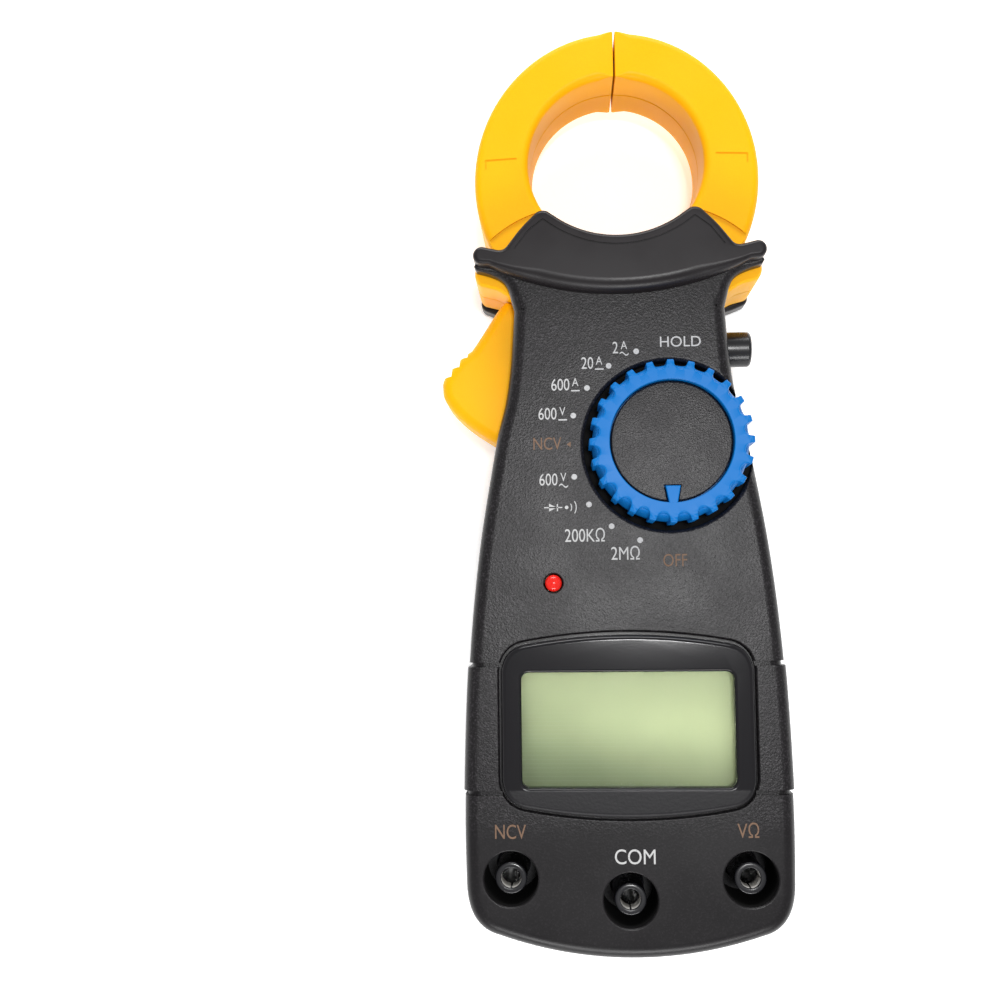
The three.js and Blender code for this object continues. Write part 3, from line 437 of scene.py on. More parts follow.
def cleaned(made, angle=32):
    work = bmesh.new()
    work.from_mesh(made.data)
    bmesh.ops.remove_doubles(work, verts=work.verts, dist=2e-6)
    bmesh.ops.dissolve_degenerate(work, dist=1e-6, edges=work.edges)
    bmesh.ops.dissolve_limit(work, angle_limit=math.radians(0.1), verts=work.verts, edges=work.edges)
    bmesh.ops.triangulate(work, faces=[f for f in work.faces if len(f.verts) > 4], ngon_method="BEAUTY")
    loose = [v for v in work.verts if not v.link_faces]
    bmesh.ops.delete(work, geom=loose, context="VERTS")
    work.to_mesh(made.data)
    work.free()
    made.data.polygons.foreach_set("use_smooth", [True] * len(made.data.polygons))
    made.data.set_sharp_from_angle(angle=math.radians(angle))
    weighted = made.modifiers.new("weighted", "WEIGHTED_NORMAL")
    weighted.keep_sharp = True
    return made


def piece(made, name, body, material, node=None, angle=32):
    cleaned(made, angle)
    made.name = name
    made.data.materials.clear()
    made.data.materials.append(material)
    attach(made, body)
    if node:
        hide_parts(node)
    return made


# -------- materials

class Nodes:
    """A material's node tree, with one short call for each node."""

    def __init__(self, name):
        self.material = bpy.data.materials.new(name)
        self.material.use_nodes = True
        self.tree = self.material.node_tree
        self.shader = self.tree.nodes["Principled BSDF"]
        self.place = self.add("TexCoord").outputs["Object"]

    def add(self, kind, settings=None, **inputs):
        node = self.tree.nodes.new("ShaderNode" + kind)
        for key, value in (settings or {}).items():
            setattr(node, key, value)
        for key, value in inputs.items():
            self.put(node.inputs[key.replace("_", " ")], value)
        return node

    def put(self, socket, value):
        if isinstance(value, bpy.types.NodeSocket):
            self.tree.links.new(value, socket)
        else:
            socket.default_value = value

    def set(self, **inputs):
        for key, value in inputs.items():
            self.put(self.shader.inputs[key.replace("_", " ")], value)

    def noise(self, size, detail=3.0, roughness=0.5):
        """Noise whose features are about size millimetres across."""
        made = self.add("TexNoise", Vector=self.place, Scale=1 / (size * MM))
        made.inputs["Detail"].default_value = detail
        made.inputs["Roughness"].default_value = roughness
        return made.outputs["Fac"]

    def ramp(self, value, low, high, to_low=0.0, to_high=1.0):
        made = self.add("MapRange", {"interpolation_type": "SMOOTHSTEP"}, Value=value)
        for key, number in (("From Min", low), ("From Max", high), ("To Min", to_low), ("To Max", to_high)):
            made.inputs[key].default_value = number
        return made.outputs["Result"]

    def math(self, operation, a, b=0.0):
        made = self.add("Math", {"operation": operation})
        self.put(made.inputs[0], a)
        self.put(made.inputs[1], b)
        return made.outputs[0]

    def mix(self, factor, a, b):
        made = self.add("Mix", {"data_type": "RGBA"})
        self.put(made.inputs[0], factor)
        self.put(made.inputs[6], a)
        self.put(made.inputs[7], b)
        return made.outputs[2]

    def axis(self, letter):
        """A coordinate in millimetres."""
        split = self.add("SeparateXYZ", Vector=self.place)
        return self.math("DIVIDE", split.outputs[letter], MM)

    def near(self, x, y, radius):
        """1 within radius millimetres of a line along Z, and 0 outside it."""
        flat = self.add("VectorMath", {"operation": "MULTIPLY"})
        self.put(flat.inputs[0], self.place)
        flat.inputs[1].default_value = (1 / MM, 1 / MM, 0)
        far = self.add("VectorMath", {"operation": "DISTANCE"})
        self.put(far.inputs[0], flat.outputs[0])
        far.inputs[1].default_value = (x, y, 0)
        return self.ramp(far.outputs["Value"], radius - 0.1, radius + 0.1, 1.0, 0.0)

    def bump(self, height, depth, strength=1.0):
        made = self.add("Bump", Height=height, Distance=depth * MM, Strength=strength)
        return made.outputs["Normal"]

    def edges(self, reach):
        """1 along outer edges, within reach millimetres of them, and 0 on faces."""
        soft = self.add("Bevel", {"samples": 4}, Radius=reach * MM)
        flat = self.add("NewGeometry").outputs["Normal"]
        facing = self.add("VectorMath", {"operation": "DOT_PRODUCT"})
        self.put(facing.inputs[0], soft.outputs[0])
        self.put(facing.inputs[1], flat)
        return self.ramp(facing.outputs["Value"], 0.99, 0.8)

    def rubbed_and_highlit(self, base, colour, amount):
        """The base colour with outer edges made lighter towards another, more in some places than in others:
        partly abrasion and partly a painted highlight along the edges.
        """
        # lighter edges: partly abrasion, partly a painted highlight
        edge = self.math("MULTIPLY", self.edges(0.5), self.ramp(self.noise(1.6, 4), 0.35, 0.7, 0.3, 1.0))
        return self.mix(self.math("MULTIPLY", edge, amount), base, colour)


def shade(colour, factor):
    return tuple(min(1.0, c * factor) for c in colour[:3]) + (1.0,)


def moulded(name, colour, roughness=0.5, grain=0.35, depth=0.02, mottle=0.1, wear_and_highlight=0.25, worn_and_lit=1.5,
            specular=0.5):
    """Injection-moulded plastic: fine grain, faint cloudiness, edges lightened partly by abrasion and partly
    as a painted highlight, and a few tiny scuffs.
    """
    n = Nodes(name)
    cloud = n.noise(14, 4)
    fine = n.noise(grain, 2)
    scuffs = n.ramp(n.noise(2.2, 6, roughness=0.75), 0.66, 0.74)
    base = n.mix(cloud, shade(colour, 1 - mottle), shade(colour, 1 + mottle))
    base = n.mix(n.math("MULTIPLY", fine, 0.25), base, shade(colour, 1.25))
    base = n.rubbed_and_highlit(base, shade(colour, worn_and_lit), wear_and_highlight)
    rough = n.ramp(cloud, 0.3, 0.7, roughness - 0.05, roughness + 0.05)
    rough = n.math("ADD", rough, n.math("MULTIPLY", scuffs, 0.06))
    n.set(Base_Color=base, Roughness=rough, Specular_IOR_Level=specular, Normal=n.bump(fine, depth))
    return n


CHARCOAL = (0.0088, 0.0079, 0.0089)


def case_material(name, grain_from=-72.0):
    """Charcoal plastic, spark eroded above grain_from, nearly smooth below it and down the sides. Inside the
    dial's well and the socket shrouds, and in columns right through the case below them, the colour is
    painted near black and made rougher as shade."""
    n = Nodes(name)
    up, along = n.axis("Z"), n.axis("Y")
    face = n.ramp(up, FACE - 2.2, FACE - 0.4, 0.1, 1.0)
    upper = n.ramp(along, grain_from - 4, grain_from + 2, 0.25, 1.0)
    grained = n.math("MULTIPLY", face, upper)
    cloud, coarse = n.noise(14, 4), n.noise(0.42, 3, roughness=0.7)
    base = n.mix(cloud, shade(CHARCOAL, 0.88), shade(CHARCOAL, 1.12))
    flecks = n.math("MULTIPLY", n.ramp(coarse, 0.5, 0.68), grained)
    base = n.mix(n.math("MULTIPLY", flecks, 0.7), base, shade(CHARCOAL, 5.5))
    pitted = n.math("MULTIPLY", n.ramp(coarse, 0.48, 0.34), grained)
    base = n.mix(n.math("MULTIPLY", pitted, 0.5), base, shade(CHARCOAL, 0.4))
    base = n.rubbed_and_highlit(base, shade(CHARCOAL, 2.2), 0.3)
    # painted shade: near black and rougher inside the dial's well and the socket shrouds, in columns that run
    # down through the whole case to its back
    painted_well_shade = n.near(DIAL_X, DIAL_Y, WELL_RADIUS + 0.3)
    for _, (x, y, _z) in SOCKETS:
        painted_well_shade = n.math("MAXIMUM", painted_well_shade, n.near(x, y, SHROUD_RADIUS + 0.3))
    painted_well_shade = n.math("MULTIPLY", painted_well_shade, n.ramp(up, FACE - 1.1, FACE - 0.3, 1.0, 0.0))
    base = n.mix(painted_well_shade, base, shade(CHARCOAL, 0.12))
    rough = n.math("ADD", n.ramp(cloud, 0.3, 0.7, 0.31, 0.37), n.math("MULTIPLY", painted_well_shade, 0.5))
    pits = n.add("TexVoronoi", {"feature": "SMOOTH_F1"}, Vector=n.place, Scale=1 / (0.38 * MM))
    height = n.math("ADD", coarse, n.math("MULTIPLY", pits.outputs["Distance"], 0.5))
    n.set(Base_Color=base, Roughness=rough, Specular_IOR_Level=0.26, Normal=n.bump(height, 0.05, grained))
    return n.material


def yellow_material():
    n = moulded("yellow_plastic", (0.97, 0.44, 0.001), 0.45, grain=0.4, depth=0.006, mottle=0.03, wear_and_highlight=0.1,
                worn_and_lit=1.15, specular=0.15)
    n.set(Subsurface_Weight=0.12, Subsurface_Scale=1.5 * MM)
    n.shader.inputs["Subsurface Radius"].default_value = (1.0, 0.55, 0.1)
    return n.material


def disc_material():
    n = Nodes("disc_plastic")
    coarse, cloud = n.noise(0.4, 3, roughness=0.7), n.noise(9, 3)
    base = n.mix(cloud, shade(CHARCOAL, 0.9), shade(CHARCOAL, 1.2))
    base = n.mix(n.math("MULTIPLY", n.ramp(coarse, 0.5, 0.68), 0.7), base, shade(CHARCOAL, 6))
    n.set(Base_Color=base, Roughness=n.ramp(cloud, 0.3, 0.7, 0.3, 0.36), Specular_IOR_Level=0.26)
    n.set(Normal=n.bump(n.math("ADD", coarse, n.noise(0.3, 1)), 0.045))
    return n.material


def metal(name, colour, roughness, grain=(0.1, 2.0, 2.0), depth=0.004, painted_shade_below=None, metallic=1.0):
    """Drawn or turned metal with a fine lay: grain is its size along X, Y and Z in millimetres.
    Below a given height its colour is painted near black, as shade deep inside a bore."""
    n = Nodes(name)
    lay = n.add("VectorMath", {"operation": "DIVIDE"})
    n.put(lay.inputs[0], n.place)
    lay.inputs[1].default_value = [g * MM for g in grain]
    lines = n.add("TexNoise", Vector=lay.outputs[0], Scale=1.0).outputs["Fac"]
    stain = n.noise(5, 5)
    base = n.mix(stain, shade(colour, 0.8), shade(colour, 1.1))
    # painted shade: near black below the given height, standing in for the dark deep in the socket's bore
    if painted_shade_below:
        base = n.mix(n.ramp(n.axis("Z"), painted_shade_below, painted_shade_below + 1.6), (0.004, 0.004, 0.004, 1), base)
    n.set(Base_Color=base, Metallic=metallic, Normal=n.bump(lines, depth))
    n.set(Roughness=n.math("ADD", n.math("MULTIPLY", lines, 0.15), roughness - 0.07))
    return n.material


def banded(name, colour, other, pitch, letter, metallic, roughness):
    """Even bands across an axis, for laminations, windings and contact strips."""
    n = Nodes(name)
    wave = n.math("SINE", n.math("MULTIPLY", n.axis(letter), 2 * math.pi / pitch))
    band = n.ramp(wave, -0.4, 0.5)
    dirt = n.noise(3, 4)
    base = n.mix(band, shade(other, 1.0), n.mix(dirt, shade(colour, 0.85), shade(colour, 1.1)))
    n.set(Base_Color=base, Metallic=metallic, Normal=n.bump(band, 0.05))
    n.set(Roughness=n.ramp(dirt, 0.3, 0.7, roughness - 0.05, roughness + 0.08))
    return n.material


def display_material():
    """The grey-green liquid-crystal cell, with fine electrode lines and a painted reflection that makes it
    paler towards its upper right.
    """
    n = Nodes("display_cell")
    x, y = n.axis("X"), n.axis("Y")
    # painted reflection: the cell is paler towards its upper right
    painted_reflection = n.math("ADD", n.math("MULTIPLY", x, 0.35), y)
    painted_reflection = n.math("ADD", painted_reflection, n.math("MULTIPLY", n.noise(16, 2), 6.0))
    base = n.mix(n.ramp(painted_reflection, -68, -40), (0.27, 0.33, 0.175, 1), (0.78, 0.87, 0.49, 1))
    lines = n.ramp(n.math("SINE", n.math("MULTIPLY", y, 2 * math.pi / 0.9)), 0.6, 1.0, 0.0, 0.05)
    n.set(Base_Color=n.mix(lines, base, (0.75, 0.82, 0.6, 1)))
    n.set(Roughness=n.ramp(n.noise(4, 3), 0.3, 0.7, 0.3, 0.4))
    return n.material


def clear_material():
    n = Nodes("clear_window")
    smear = n.noise(9, 5)
    n.set(Base_Color=(0.98, 1.0, 0.97, 1), Transmission_Weight=1.0, IOR=1.1)
    n.set(Roughness=n.ramp(smear, 0.4, 0.75, 0.0, 0.03))
    return n.material


def lamp_material():
    n = Nodes("red_lamp")
    cloud = n.noise(1.2, 3)
    n.set(Base_Color=n.mix(cloud, (0.5, 0.006, 0.004, 1), (0.85, 0.02, 0.01, 1)))
    n.set(Roughness=n.ramp(cloud, 0.2, 0.8, 0.12, 0.2), Subsurface_Weight=0.5, Subsurface_Scale=1.0 * MM)
    n.set(Emission_Color=(0.6, 0.01, 0.005, 1), Emission_Strength=0.15)
    n.set(Normal=n.bump(cloud, 0.003))
    return n.material


def ink(name, colour, cover=1.0):
    """Pad-printed ink, thin enough for the grain under it to break it up here and there."""
    n = Nodes(name)
    breaks = n.ramp(n.noise(0.4, 2), 0.3, 0.45, 1 - 0.3 * cover, 1.0)
    base = n.mix(breaks, shade(CHARCOAL, 2.0), shade(colour, 1.0))
    n.set(Base_Color=base, Roughness=n.ramp(n.noise(0.6, 2), 0.3, 0.7, 0.55, 0.7))
    n.set(Normal=n.bump(n.noise(0.3, 2), 0.02))
    return n.material


def board_material():
    n = Nodes("circuit_board")
    tracks = n.add("TexBrick", Vector=n.place, Scale=1 / (6 * MM)).outputs["Fac"]
    base = n.mix(tracks, (0.012, 0.13, 0.045, 1), (0.03, 0.22, 0.08, 1))
    n.set(Base_Color=base, Roughness=n.ramp(n.noise(3, 3), 0.3, 0.7, 0.35, 0.5), Normal=n.bump(tracks, 0.03))
    return n.material


CASE = case_material("case_plastic")
REAR = case_material("rear_plastic", grain_from=-200.0)
GUARD = moulded("guard_plastic", (0.0105, 0.0085, 0.0097), 0.36, grain=0.25, depth=0.006,
                worn_and_lit=1.8, specular=0.28).material
YELLOW = yellow_material()
BLUE = moulded("blue_plastic", (0.001, 0.146, 0.465), 0.4, grain=0.3, depth=0.006, mottle=0.04,
               wear_and_highlight=0.15, worn_and_lit=1.3, specular=0.18).material
DISC = disc_material()
GLOSS_BLACK = moulded("gloss_black", (0.008, 0.008, 0.01), 0.25, 0.5, 0.004, wear_and_highlight=0.3, worn_and_lit=3.0).material
STEEL = metal("steel", (0.6, 0.61, 0.63), 0.3)
CONTACT = metal("contact", (0.78, 0.76, 0.72), 0.18, grain=(1.0, 1.0, 0.08), painted_shade_below=23.8, metallic=0.3)
BRASS = metal("brass", (0.75, 0.52, 0.2), 0.3)
WHITE = moulded("white_plastic", (0.75, 0.74, 0.68), 0.5).material
RUBBER = banded("contact_strip", (0.2, 0.2, 0.21), (0.55, 0.5, 0.42), 0.5, "X", 0.0, 0.7)
IRON = banded("laminated_iron", (0.42, 0.43, 0.45), (0.12, 0.11, 0.1), 0.7, "Z", 0.9, 0.4)
COPPER = banded("winding", (0.75, 0.27, 0.08), (0.25, 0.07, 0.03), 0.45, "Z", 0.8, 0.35)
JACKET = moulded("cell_jacket", (0.03, 0.09, 0.3), 0.3, grain=0.8, depth=0.004).material
BOARD = board_material()


# -------- case

OUTLINE = case_outline()
FAR = 130.0
CASE_SCREWS = [middle_mm(f"case_screw_{i}") for i in range(1, 6)]


def trigger_slot():
    low, high = box_mm("trigger")
    return block(-FAR, *TRIGGER_SLOT, low[2] - 0.5, high[2] + 0.5)


def jaw_room(z0, z1):
    """The space the jaw roots and the swing of the moving one take up."""
    moving, fixed = JAW_ROOM_Y
    return [block(-FAR, 0, moving, FAR, z0, z1), block(-0.1, FAR, fixed, FAR, z0, z1)]


def belt_groove(y):
    """A groove of even depth that runs over the face and down both sides."""
    core = plate(inset(OUTLINE, 0.55), -1, FACE - 0.55, top=CASE_EDGE)
    band = block(-FAR, FAR, y - 0.5, y + 0.5, -0.5, FACE + 1)
    return cut(band, core, block(-BEZEL_HALF_WIDTH, BEZEL_HALF_WIDTH, -FAR, 0, -1, FAR))


def belt():
    """Between its two grooves the case stands a little proud at the sides."""
    wide = plate(inset(OUTLINE, -0.3), -1, FACE, top=CASE_EDGE, bottom=CASE_EDGE)
    return overlap(wide, block(-FAR, FAR, BELT_Y0 + 0.5, BELT_Y1 - 0.5, 1, FACE + 1))


def shoulder_outlines():
    right = SHOULDER + SHOULDER_BACK
    return [right, mirrored(right)]


def shoulders():
    """The cover flares out to both sides under the ears of the guard."""
    made = []
    for side in (1, -1):
        curve = spline(SHOULDER, 24)
        outline = curve + SHOULDER_BACK
        radii = [2.8 - 2.1 * min(1, max(0, (x - 23.5) / 6)) for x, _ in curve] + [0.5, 0.5, 0.3, 0, 0]
        part = plate(outline, GUARD_Z0, FACE - 0.05, top=radii, bottom=0.0, steps=7)
        if side < 0:
            turned_over(part, lambda x, y, z: (-x, y, z))
        made.append(part)
    return made


def case_half(z0, z1, top, bottom):
    """A solid half of the case with its part of the belt. The edge where the halves meet is the sharper."""
    half = plate(OUTLINE, z0, z1, top=top, bottom=bottom, steps=8)
    lip = min(top, bottom)
    low, high = (z0 + lip, FACE + 1) if bottom == lip else (-1, z1 - lip)
    joined(half, overlap(belt(), block(-FAR, FAR, -FAR, FAR, low, high)))
    return cut(half, block(-FAR, FAR, CASE_TOP, FAR, -1, FACE + 1))


def front_cover():
    z0 = PARTING + GAP / 2
    cover = case_half(z0, FACE, CASE_EDGE, 0.25)
    cut(cover, plate(inset(OUTLINE, WALL), z0 - 1, FACE - WALL, top=1.0))
    well = rod(DIAL_X, DIAL_Y, WELL_FLOOR - 1.5, FACE - 0.5, WELL_RADIUS + WELL_WALL, 96)
    well = overlap(well, plate(inset(OUTLINE, 1.0), 20, 40))
    seat = plate(inset(bezel_outline(), -1.6), BEZEL_Z0 - 2.2, FACE - 1)
    joined(cover, well, seat)
    cut(cover, *jaw_room(0, GUARD_Z0))
    joined(cover, *shoulders())
    shrouds = [rod(x, y, 14, FACE - 1, SHROUD_RADIUS + SHROUD_WALL) for _, (x, y, _z) in SOCKETS]
    joined(cover, *shrouds)
    tools = [flared(DIAL_X, DIAL_Y, WELL_FLOOR, FACE, WELL_RADIUS, 0.9, 128)]
    tools += [rod(DIAL_X, DIAL_Y, 0, FACE, STEM_RADIUS + 0.4)]
    tools += [flared(x, y, 0, FACE, SHROUD_RADIUS, 0.4, 64) for _, (x, y, _z) in SOCKETS]
    lamp_x, lamp_y, _ = middle_mm("indicator_led")
    tools += [flared(lamp_x, lamp_y, 0, FACE, 2.05, 0.25, 32)]
    tools += [flared_plate(inset(bezel_outline(), -0.6), BEZEL_Z0 - GAP, FACE, 0.5)]
    tools += [plate(rectangle(*WINDOW_HOLE, 1.5), 0, FACE + 1)]
    tools += [trigger_slot(), button_hole(), belt_groove(BELT_Y0), belt_groove(BELT_Y1)]
    cut(cover, *tools)
    return piece(cover, "case_front", "case", CASE, "front_cover")


def button_hole():
    _, y, z = middle_mm("hold_button")
    hole = rod(0, 0, 18, FAR, BUTTON_RADIUS + GAP)
    return moved(hole, lambda a, b, c: (c, y + b, z - a))


def rear_cover():
    z1 = PARTING - GAP / 2
    cover = case_half(0, z1, 0.25, CASE_EDGE)
    cut(cover, plate(inset(OUTLINE, WALL), WALL, z1 + 1, bottom=1.0), *jaw_room(REAR_GUARD_TOP, FAR))
    guard = plate(guard_outline(*REAR_GUARD)[0], 0, REAR_GUARD_TOP, top=1.0, bottom=1.2)
    cut(guard, plate(inset(OUTLINE, WALL), WALL, FAR))
    low, high = box_mm("battery_door")
    pad = plate(rectangle(low[0] - 2, high[0] + 2, low[1] - 2, high[1] + 2, 4), 1, high[2] + 2.3)
    x0, x1, y0, y1, top = BATTERY_BAY
    bay = block(x0 - BAY_WALL, x1 + BAY_WALL, y0 - BAY_WALL, y1 + BAY_WALL, 0.5, top + BAY_WALL)
    posts = [rod(x, y, 1, z1, 3.2, 24) for x, y, _ in CASE_SCREWS[:4]]
    pins = [rod(side * PIVOT_X, PIVOT_Y, 1, REAR_GUARD_TOP, 3.6, 24) for side in (1, -1)]
    joined(cover, guard, pad, bay, *posts, *pins)
    recess = rectangle(low[0] - GAP, high[0] + GAP, low[1] - GAP, high[1] + GAP, 2.8)
    tools = [block(x0, x1, y0, y1, -1, top), plate(recess, -1, high[2] + GAP)]
    tools += [trigger_slot()]
    for x, y, _ in CASE_SCREWS:
        tools.append(moved(flared(x, y, -3.3, 0, 2.9, 0.5, 32), lambda a, b, c: (a, b, -c)))
        tools[-1].data.flip_normals()
        tools.append(rod(x, y, 0, FAR, 1.6, 16))
    cut(cover, *tools)
    low, high = box_mm("trigger_spring")
    post_x = high[0] + GAP
    joined(cover, block(post_x, post_x + 2.2, 21.8, 28.2, 1, 16.4))
    return piece(cover, "case_rear", "case", REAR, "rear_cover")


def guard_line():
    """The ribbon of the fine line engraved round the guard's upper edge."""
    x, y, radius = GUARD_PEAK
    away, width, deep = 2.3, 0.22, 0.3
    reach = math.degrees(math.asin(14 / GUARD_ARC_RADIUS))
    path = [(22.9, 51.9), (19.8, 55.9)] + arc(x, y, radius - away, 40, 112, 5)
    path += arc(0, GUARD_ARC_Y, GUARD_ARC_RADIUS + away, -90 + reach, -90, 20)
    path += mirrored(path)[1:]
    outer, inner = [], []
    for i, p in enumerate(path):
        a, b = path[max(0, i - 1)], path[min(len(path) - 1, i + 1)]
        dx, dy = b[0] - a[0], b[1] - a[1]
        length = math.hypot(dx, dy)
        outer.append((p[0] - dy / length * width, p[1] + dx / length * width))
        inner.append((p[0] + dy / length * width, p[1] - dx / length * width))
    return plate(inner + outer[::-1], GUARD_TOP - deep, GUARD_TOP + 1)


def hand_guard():
    outline, low = guard_outline(*FRONT_GUARD)
    radii = [1.0 + 1.9 * k * (1 - min(1, max(0, (abs(x) - 18) / 10))) for k, (x, _) in zip(low, outline)]
    guard = plate(outline, GUARD_Z0, GUARD_TOP, top=radii, bottom=0.3, steps=9)
    cut(guard, plate(inset(OUTLINE, -SEAM), 0, FACE + SEAM))
    cut(guard, *[plate(inset(side, -SEAM), 0, FACE + SEAM) for side in shoulder_outlines()])
    inner, outer = GUARD_ARC_RADIUS + 0.1, GUARD_ARC_RADIUS + THROAT_THICKNESS
    throat = rod(0, GUARD_ARC_Y, JAW_Z0, GUARD_Z0 + 1, outer, 180)
    cut(throat, rod(0, GUARD_ARC_Y, 0, FAR, inner, 180))
    overlap(throat, block(-THROAT_HALF_WIDTH, THROAT_HALF_WIDTH, 40, 60, 0, FAR))
    joined(guard, throat)
    cut(guard, guard_line())
    return piece(guard, "hand_guard_visual", "case", GUARD, "hand_guard")


# -------- jaws and trigger

def jaw_radii(outline):
    """The front and back edges are well rounded, but nearly sharp where the two jaws meet."""
    return [0.25 + (JAW_EDGE - 0.25) * min(1, max(0, (x - 0.9) / 2.5)) for x, _ in outline]


def jaw_marks():
    """A short moulding line on the front face, and the step down round the pivot that the guard covers."""
    hook = [(22.4, 74.5), (29.2, 74.2), (29.2, 72.4), (29.55, 72.4), (29.55, 74.65), (22.4, 74.95)]
    line = plate(hook, JAW_Z1 - 0.3, JAW_Z1 + 1)
    return [line, rod(-PIVOT_X, PIVOT_Y, JAW_STEP_Z, FAR, JAW_STEP_RADIUS, 160)]


def jaw_shell(front):
    if front:
        z0, z1 = JAW_MIDDLE + GAP / 2, JAW_Z1
        shell = plate(jaw_outline, z0, z1, top=jaw_radii(jaw_outline(z1)), bottom=0.15, steps=8)
    else:
        z0, z1 = JAW_Z0, JAW_MIDDLE - GAP / 2
        shell = plate(jaw_outline, z0, z1, top=0.15, bottom=jaw_radii(jaw_outline(z0)), steps=8)
    joined(shell, rod(-PIVOT_X, PIVOT_Y, z0, z1, HUB_RADIUS))
    cut(shell, plate(inset(core_outline(), -GAP), 11.2, 21.8),
        rod(-PIVOT_X, PIVOT_Y, 0, FAR, PIN_RADIUS + GAP), *(jaw_marks() if front else []))
    return shell


def jaws():
    for front in (True, False):
        half = "front" if front else "rear"
        piece(jaw_shell(front), f"fixed_jaw_{half}", "case", YELLOW, f"fixed_jaw_{half}_shell")
        left = turned_over(jaw_shell(front), lambda x, y, z: (-x, y, z))
        low, high = box_mm("trigger")
        cut(left, rod(PIVOT_X, PIVOT_Y, low[2] + 2.4, high[2] - 2.4, HUB_RADIUS + 0.1),
            block(-24, PIVOT_X, PIVOT_Y - 3.7, PIVOT_Y + 3.3, low[2] + 2.4, high[2] - 2.4))
        piece(left, f"moving_jaw_{half}", "moving_jaw", YELLOW, f"moving_jaw_{half}_shell")


def trigger_outline():
    back = spline(TRIGGER_BACK, 40)
    top = spline(TRIGGER_TOP, 16)
    return (back + top + TRIGGER_INSIDE)[::-1]


def trigger_notches():
    """The steps behind the trigger's knuckle, as the notches cut between them."""
    made = []
    run_x, run_y = TRIGGER_STEP_RUN
    for i in range(TRIGGER_STEPS):
        x, y = (first + run * i for first, run in zip(TRIGGER_STEP_FIRST, TRIGGER_STEP_RUN))
        notch = [(x - 3, y + run_y), (x, y), (x + run_x - 0.2, y + 0.2), (x + run_x, y + run_y)]
        made.append(plate(notch, 0, FAR))
    return made


def trigger():
    low, high = box_mm("trigger")
    outline = trigger_outline()
    radii = [2.4 if x < -23 else 1.2 for x, _ in outline]
    lever = plate(outline, low[2], high[2], top=radii, bottom=radii, steps=7)
    beside_jaw = inset(mirrored(jaw_outline(16)), -GAP)
    hub = rod(PIVOT_X, PIVOT_Y, 0, FAR, HUB_RADIUS + GAP)
    cut(lever, plate(beside_jaw, 0, FAR), hub, *trigger_notches())
    z0, z1 = low[2] + 2.7, high[2] - 2.7
    arm = block(-22, PIVOT_X, PIVOT_Y - 3.4, PIVOT_Y + 3, z0, z1)
    cut(arm, plate(beside_jaw, 0, FAR))
    joined(lever, rod(PIVOT_X, PIVOT_Y, z0, z1, HUB_RADIUS - 0.2), arm)
    cut(lever, rod(PIVOT_X, PIVOT_Y, 0, FAR, PIN_RADIUS + GAP))
    return piece(lever, "trigger_visual", "moving_jaw", YELLOW, "trigger")


def trigger_spring():
    low, high = box_mm("trigger_spring")
    _, y, z = middle_mm("trigger_spring")
    radius, wire, turns, per_turn, sides = 2.6, 0.42, 6, 28, 10
    loops = []
    for i in range(turns * per_turn + 1):
        a = 2 * math.pi * i / per_turn
        x = low[0] + wire + (high[0] - low[0] - 2 * wire) * i / (turns * per_turn)
        ring = []
        for k in range(sides):
            b = 2 * math.pi * k / sides
            r = radius + wire * math.cos(b)
            ring.append((x + wire * math.sin(b), y + r * math.cos(a), z + r * math.sin(a)))
        loops.append(ring)
    coil = piece(loft(loops), "return_spring", "case", STEEL, "trigger_spring")
    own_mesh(coil)
    return coil


# -------- dial

def flute_radii():
    """(angle, radius, depth) round the dial: round-nosed teeth, with scoops of that depth between them."""
    pitch, hollow, at = 360 / FLUTES, 1.45, 17.05
    half = math.degrees(math.asin(hollow / at)) - 0.05
    tooth = [(0.10, 17.1), (0.25, 17.3), (0.65, DIAL_RADIUS)]
    made = []
    for i in range(FLUTES):
        middle = pitch * (i + 0.5)
        for k in range(-7, 8):
            a = half * k / 7
            s = math.radians(a)
            deep = at * math.cos(s) - math.sqrt(max(0, hollow ** 2 - (at * math.sin(s)) ** 2))
            made.append((middle + a, max(16.75, deep), max(0.0, 16.75 - deep)))
        made += [(middle + half + a, r, 0.0) for a, r in tooth]
        made += [(middle + pitch - half - a, r, 0.0) for a, r in reversed(tooth)]
    return made


def pointer(grow, z0, z1, top=0.0):
    inner, outer = 9.6, 14.2
    tip, base, top_y = 0.75 + grow, 1.6 + grow, grow - inner
    wedge = [(-tip, -outer), (tip, -outer), (base, top_y), (-base, top_y)]
    made = plate(wedge, z0, z1, top=top, steps=3)
    return moved(made, lambda x, y, z: (x + DIAL_X, y + DIAL_Y, z))


def dial_knob():
    profile = flute_radii()
    z0 = WELL_FLOOR + GAP

    def ring(z, change, scoop=0.0):
        made = []
        for a, r, deeper in profile:
            turn, reach = math.radians(a), change(r - deeper * scoop)
            made.append((DIAL_X + reach * math.cos(turn), DIAL_Y + reach * math.sin(turn), z))
        return made

    edge = 0.55
    loops = [ring(z0, lambda r: r - 0.3), ring(z0 + 0.3, lambda r: r)]
    for k in range(9):
        turn = math.pi / 2 * k / 8
        height = SCOOP_Z + (DIAL_TOP - edge - 0.2 - SCOOP_Z) * math.sin(turn)
        loops.append(ring(height, lambda r: r, 1 - math.cos(turn)))
    for k in range(6):
        a = math.pi / 2 * k / 5
        loops.append(ring(DIAL_TOP - edge + edge * math.sin(a), lambda r: r - edge * (1 - math.cos(a)), 1.0))
    for gap, z in ((0.45, DIAL_TOP), (0.3, DIAL_TOP - 0.12), (0.25, 33)):
        loops.append(ring(z, lambda r: CAP_RADIUS + gap))
    knob = loft(loops)
    joined(knob, rod(DIAL_X, DIAL_Y, 20.2, 28, STEM_RADIUS), pointer(0, 32.6, DIAL_TOP - 0.05, top=0.25))
    return piece(knob, "dial_ring", "range_dial", BLUE, "dial_knob", angle=38)


